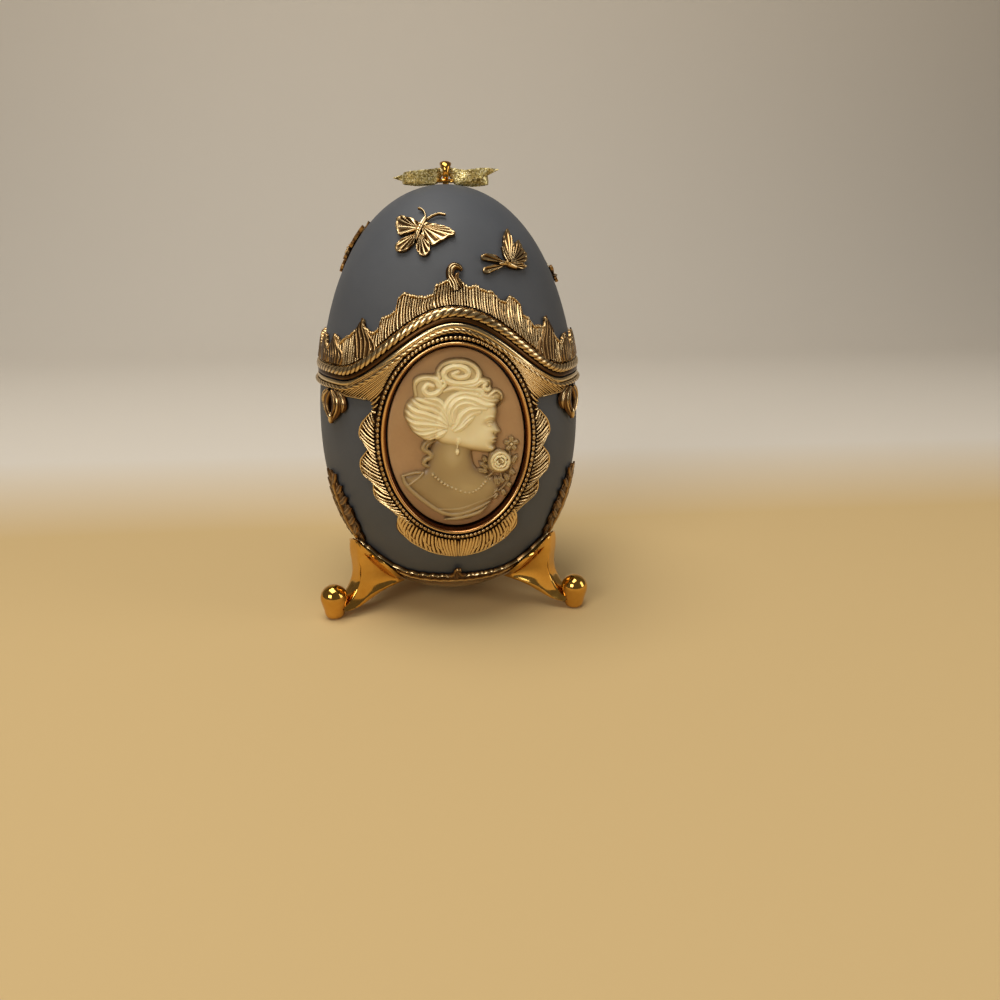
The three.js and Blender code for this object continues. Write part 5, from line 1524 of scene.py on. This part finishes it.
# Eye: a polished loop on a turned collar, its stem riveted through the top of the lid. The loop broadens
# towards its top, where the ribbon goes over it.
eye_wire = 0.65
eye_radius = 1.65
eye_level = egg_lift + egg_height + gap + 0.8 + eye_radius
eye = Casting()
ring_turn = turning(72)[None, :]
wire_turn = turning(20)[:, None]
loop_reach = eye_radius + eye_wire * np.cos(wire_turn) + 0 * ring_turn
eye_spread = 1 + 1.1 * np.clip(np.cos(ring_turn), 0, 1)
eye.patch(np.stack([
    eye_wire * eye_spread * np.sin(wire_turn), loop_reach * np.sin(ring_turn),
    eye_level + loop_reach * np.cos(ring_turn),
], axis=-1), loop_u=True, loop_v=True)
egg_top = egg_lift + egg_height
eye_turns = [
    (0, -wall), (0.7, -wall), (0.7, gap), (2.05, gap), (2.2, gap + 0.12), (2.2, gap + 0.3), (1.9, gap + 0.42),
    (1.75, gap + 0.5), (1.6, gap + 0.75), (1.1, gap + 0.85), (0, gap + 0.85),
]
eye.patch(lathe(eye_turns, turning(72), (0, 0, egg_top)), 0.9, loop_u=True)
eye.piece("finial_eye_polished", polished, "lid", ["finial_eye"], "polished_gilt", 40)


# Ribbon: a short length of stiff gold glitter ribbon tied in a flat bow through the eye, standing on its edge,
# its two ends cut to a point. The weave is metallic thread, and its edges wave a little.
glitter = Finish("gold_glitter_ribbon")
glitter_cells = glitter.node("ShaderNodeTexVoronoi", None, glitter.place(), Scale=4200, out=1)
glitter_split = glitter.node("ShaderNodeSeparateXYZ", None, glitter_cells)
glitter_cloud = glitter.noise(420, 3, 0.6)
glitter_share = glitter.reach(glitter_split * 0.75 + glitter_cloud * 0.3, 0.15, 0.85)
# Each flake's colour is set at random from dark gold to near white: painted glints and painted shade on flakes of one
# metal, beside the bump that tilts them.
glitter.surface(
    Base_Color=glitter.ramp(
        glitter_share, (0, (110, 94, 50)), (0.45, (178, 160, 98)), (0.8, (226, 210, 144)), (1, (250, 242, 200)),
    ),
    Metallic=0.75,
    Roughness=0.55 - glitter_share * 0.2,
)
glitter.bump(glitter_split, 0.7, 0.0004)

ribbon_width = 3.3
ribbon_thickness = 0.4
bow = Casting()


def ribbon(path, widths, seed):
    """One run of ribbon on its edge along a path; the widths are shares of its full width along it."""
    line = curve_through(path, 70)
    share = np.linspace(0, 1, 70)
    wide = np.interp(share, *zip(*widths)) * ribbon_width / 2
    way = np.gradient(line[:, :2], axis=0)
    way /= np.linalg.norm(way, axis=1, keepdims=True) + 1e-9
    aside = np.stack([-way[:, 1], way[:, 0], 0 * share], axis=-1)
    v = np.linspace(-1, 1, 15)[:, None]
    wave = 0.16 * np.sin(share * 19 + seed)[None, :] * v + 0.1 * np.sin(share * 31 + seed * 2)[None, :] * v ** 2
    edge = 0.05 * np.sin(share * 260)[None, :] * (np.abs(v) > 0.95)
    spot = line[None] + v[..., None] * (wide[None, :] + edge)[..., None] * np.array([0, 0, 1.0])
    thin = ribbon_thickness / 2 * (1 - 0.5 * v ** 6)
    back, front = (spot + (side * thin + wave)[..., None] * aside[None] for side in (-1, 1))
    bow.patch(back, 0.8)
    bow.patch(front, 0.8, flip=True)
    for end in (0, -1):
        bow.patch(np.stack([back[end], front[end]]), 0.8)
        bow.patch(np.stack([back[:, end], front[:, end]]), 0.8)


sag_reach = 2.6
sag_depth = 1.15


def bow_level(x):
    """The ribbon leaves the eye's hole and sags until it rests on the lid."""
    return eye_level - sag_depth * min(1, abs(x) / sag_reach) - 0.06 * max(0, abs(x) - sag_reach)


bow_loop = [
    (0.9, 0.15), (2.4, 1.15), (5.4, 1.6), (8.4, 1.2), (9.7, 0), (8.4, -1.25), (5.4, -1.65), (2.4, -1.2), (0.9, -0.15),
]
loop_widths = [(0, 0.5), (0.1, 1), (0.28, 1.08), (0.5, 0.68), (0.72, 0.9), (0.9, 1), (1, 0.5)]
bow_end = [(0.8, -0.3), (3, -1.5), (6.5, -2.4), (9.6, -2.7), (12, -2.7)]
end_widths = [(0, 0.4), (0.25, 0.85), (0.6, 0.72), (0.82, 0.34), (1, 0.05)]
for side, kick in ((-1, 0.05), (1, 0.26)):
    ribbon([(side * x, y, bow_level(x)) for x, y in bow_loop], loop_widths, side)
    ribbon([(side * x, side * y, bow_level(x) + kick * max(0, x - 4)) for x, y in bow_end], end_widths, side * 2.2)
knot_turn = turning(28)
knot_half = 1.5


def knot_ring(x, radius):
    deep, high = radius * 0.9 * np.sin(knot_turn), radius * 0.95 * np.cos(knot_turn)
    return np.stack([x + 0 * knot_turn, deep, eye_level + high], axis=-1)


bow.patch(np.stack([
    knot_ring(x, (0.95 - 0.12 * (x / knot_half) ** 2) * (1 + 0.08 * np.sin(knot_turn * 3 + x * 2)))
    for x in np.linspace(-knot_half, knot_half, 13)
]), 0.8, loop_u=True)
for x in (-knot_half, knot_half):
    bow.patch(np.stack([knot_ring(x * 1.05, 0), knot_ring(x, 0.83)]), 0.8, loop_u=True)
bow.piece("glitter_ribbon_bow", glitter, "lid", ["ribbon_bow"], "ribbon_gold", 60)


# Hinge: two stamped gilt leaves screwed to the rims at the back, their rolled knuckles turning on one steel pin.
# The screw under the cup and its nut inside hold the stand; they are plain steel.
steel = Finish("plain_steel")
steel_scratch = steel.noise(900, 4, 0.7)
steel_cloud = steel.noise(120, 3, 0.5)
steel.surface(
    Base_Color=steel.mottle(steel_cloud * 0.6 + steel_scratch * 0.4, 0.3, 0.7, (122, 118, 110), (170, 166, 156)),
    Metallic=1,
    Roughness=steel_scratch * 0.3 + 0.2,
)
steel.bump(steel_scratch, 0.1, 0.0001)
for name in ("hinge_pin", "stand_screw", "stand_nut"):
    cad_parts[name].data.materials.clear()
    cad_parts[name].data.materials.append(steel.material)

hinge_width = 11
hinge_sheet = 0.8
knuckle_radius = 1.5
hinge_reach = 6.4
pin_bore = 0.85
screw_aside = 3.3
screw_slot = 0.32
hinge_face = float(egg_profile(latitude(seam_level))[0]) + gap + rim_lip + rope_height + gap
hinge_axis = hinge_face + knuckle_radius


def hinge_leaf(name, side, spans, body, node):
    leaf = Casting()
    near, far, round_off = side * (knuckle_radius + gap), side * hinge_reach, 1.4
    corner = np.linspace(0, math.pi / 2, 8)
    half = hinge_width / 2
    rim = [(-half, near), (half, near)]
    for end, angles in ((half, corner), (-half, corner[::-1])):
        rim += [
            (end - math.copysign(round_off, end) * (1 - math.cos(a)), far - side * round_off * (1 - math.sin(a)))
            for a in angles
        ]
    rim = np.array(rim)
    middle = rim.mean(axis=0)
    grid = []
    for share, deep in ((0, 0), (0.97, 0), (1, 0.1), (1, 0.7), (0.975, hinge_sheet), (0, hinge_sheet)):
        spot = middle + (rim - middle) * share
        grid.append(np.stack([spot[:, 0], hinge_face + deep + 0 * spot[:, 0], seam_level + spot[:, 1]], axis=-1))
    leaf.patch(np.stack(grid), 0.8, loop_u=True)
    for low, high in spans:
        rolls = [
            (pin_bore, low), (knuckle_radius - 0.12, low), (knuckle_radius, low + 0.12), (knuckle_radius, high - 0.12),
            (knuckle_radius - 0.12, high), (pin_bore, high), (pin_bore, low),
        ]
        leaf.patch(lathe(rolls, turning(40), (0, hinge_axis, seam_level), (2, 0, 1)), 0.85, loop_u=True)
        tab = np.array([(low, 0), (high, 0), (high, hinge_sheet), (low, hinge_sheet)])
        tab_rings = [
            np.stack([tab[:, 0], hinge_face + tab[:, 1], seam_level + side * (reach + 0 * tab[:, 0])], axis=-1)
            for reach in (0.5, 2.2)
        ]
        leaf.patch(np.stack(tab_rings), 0.7, loop_u=True)
    for x in (-screw_aside, screw_aside):
        z = seam_level + side * (hinge_reach + knuckle_radius + gap) / 2
        dome = [(1.15, -0.05), (1.1, 0.2), (0.8, 0.42), (0.45, 0.5), (0, 0.52)]
        head = lathe(dome, turning(40) + math.pi / 2, (x, hinge_face + hinge_sheet, z), (0, 2, 1))
        in_slot = (np.abs(head[..., 2] - z) < screw_slot / 2) & (head[..., 1] > hinge_face + hinge_sheet)
        head[..., 1] -= 0.22 * in_slot
        leaf.patch(head, 0.6, loop_u=True)
    leaf.piece(name, gilt, body, [node], "gilt", 35)


hinge_edge = hinge_width / 2
upper_edge, lower_edge = ((hinge_width / 3 + way * gap) / 2 for way in (-1, 1))
lower_spans = [(-hinge_edge, -lower_edge), (lower_edge, hinge_edge)]
hinge_leaf("hinge_leaf_upper_stamped", 1, [(-upper_edge, upper_edge)], "lid", "hinge_leaf_upper")
hinge_leaf("hinge_leaf_lower_stamped", -1, lower_spans, "base", "hinge_leaf_lower")
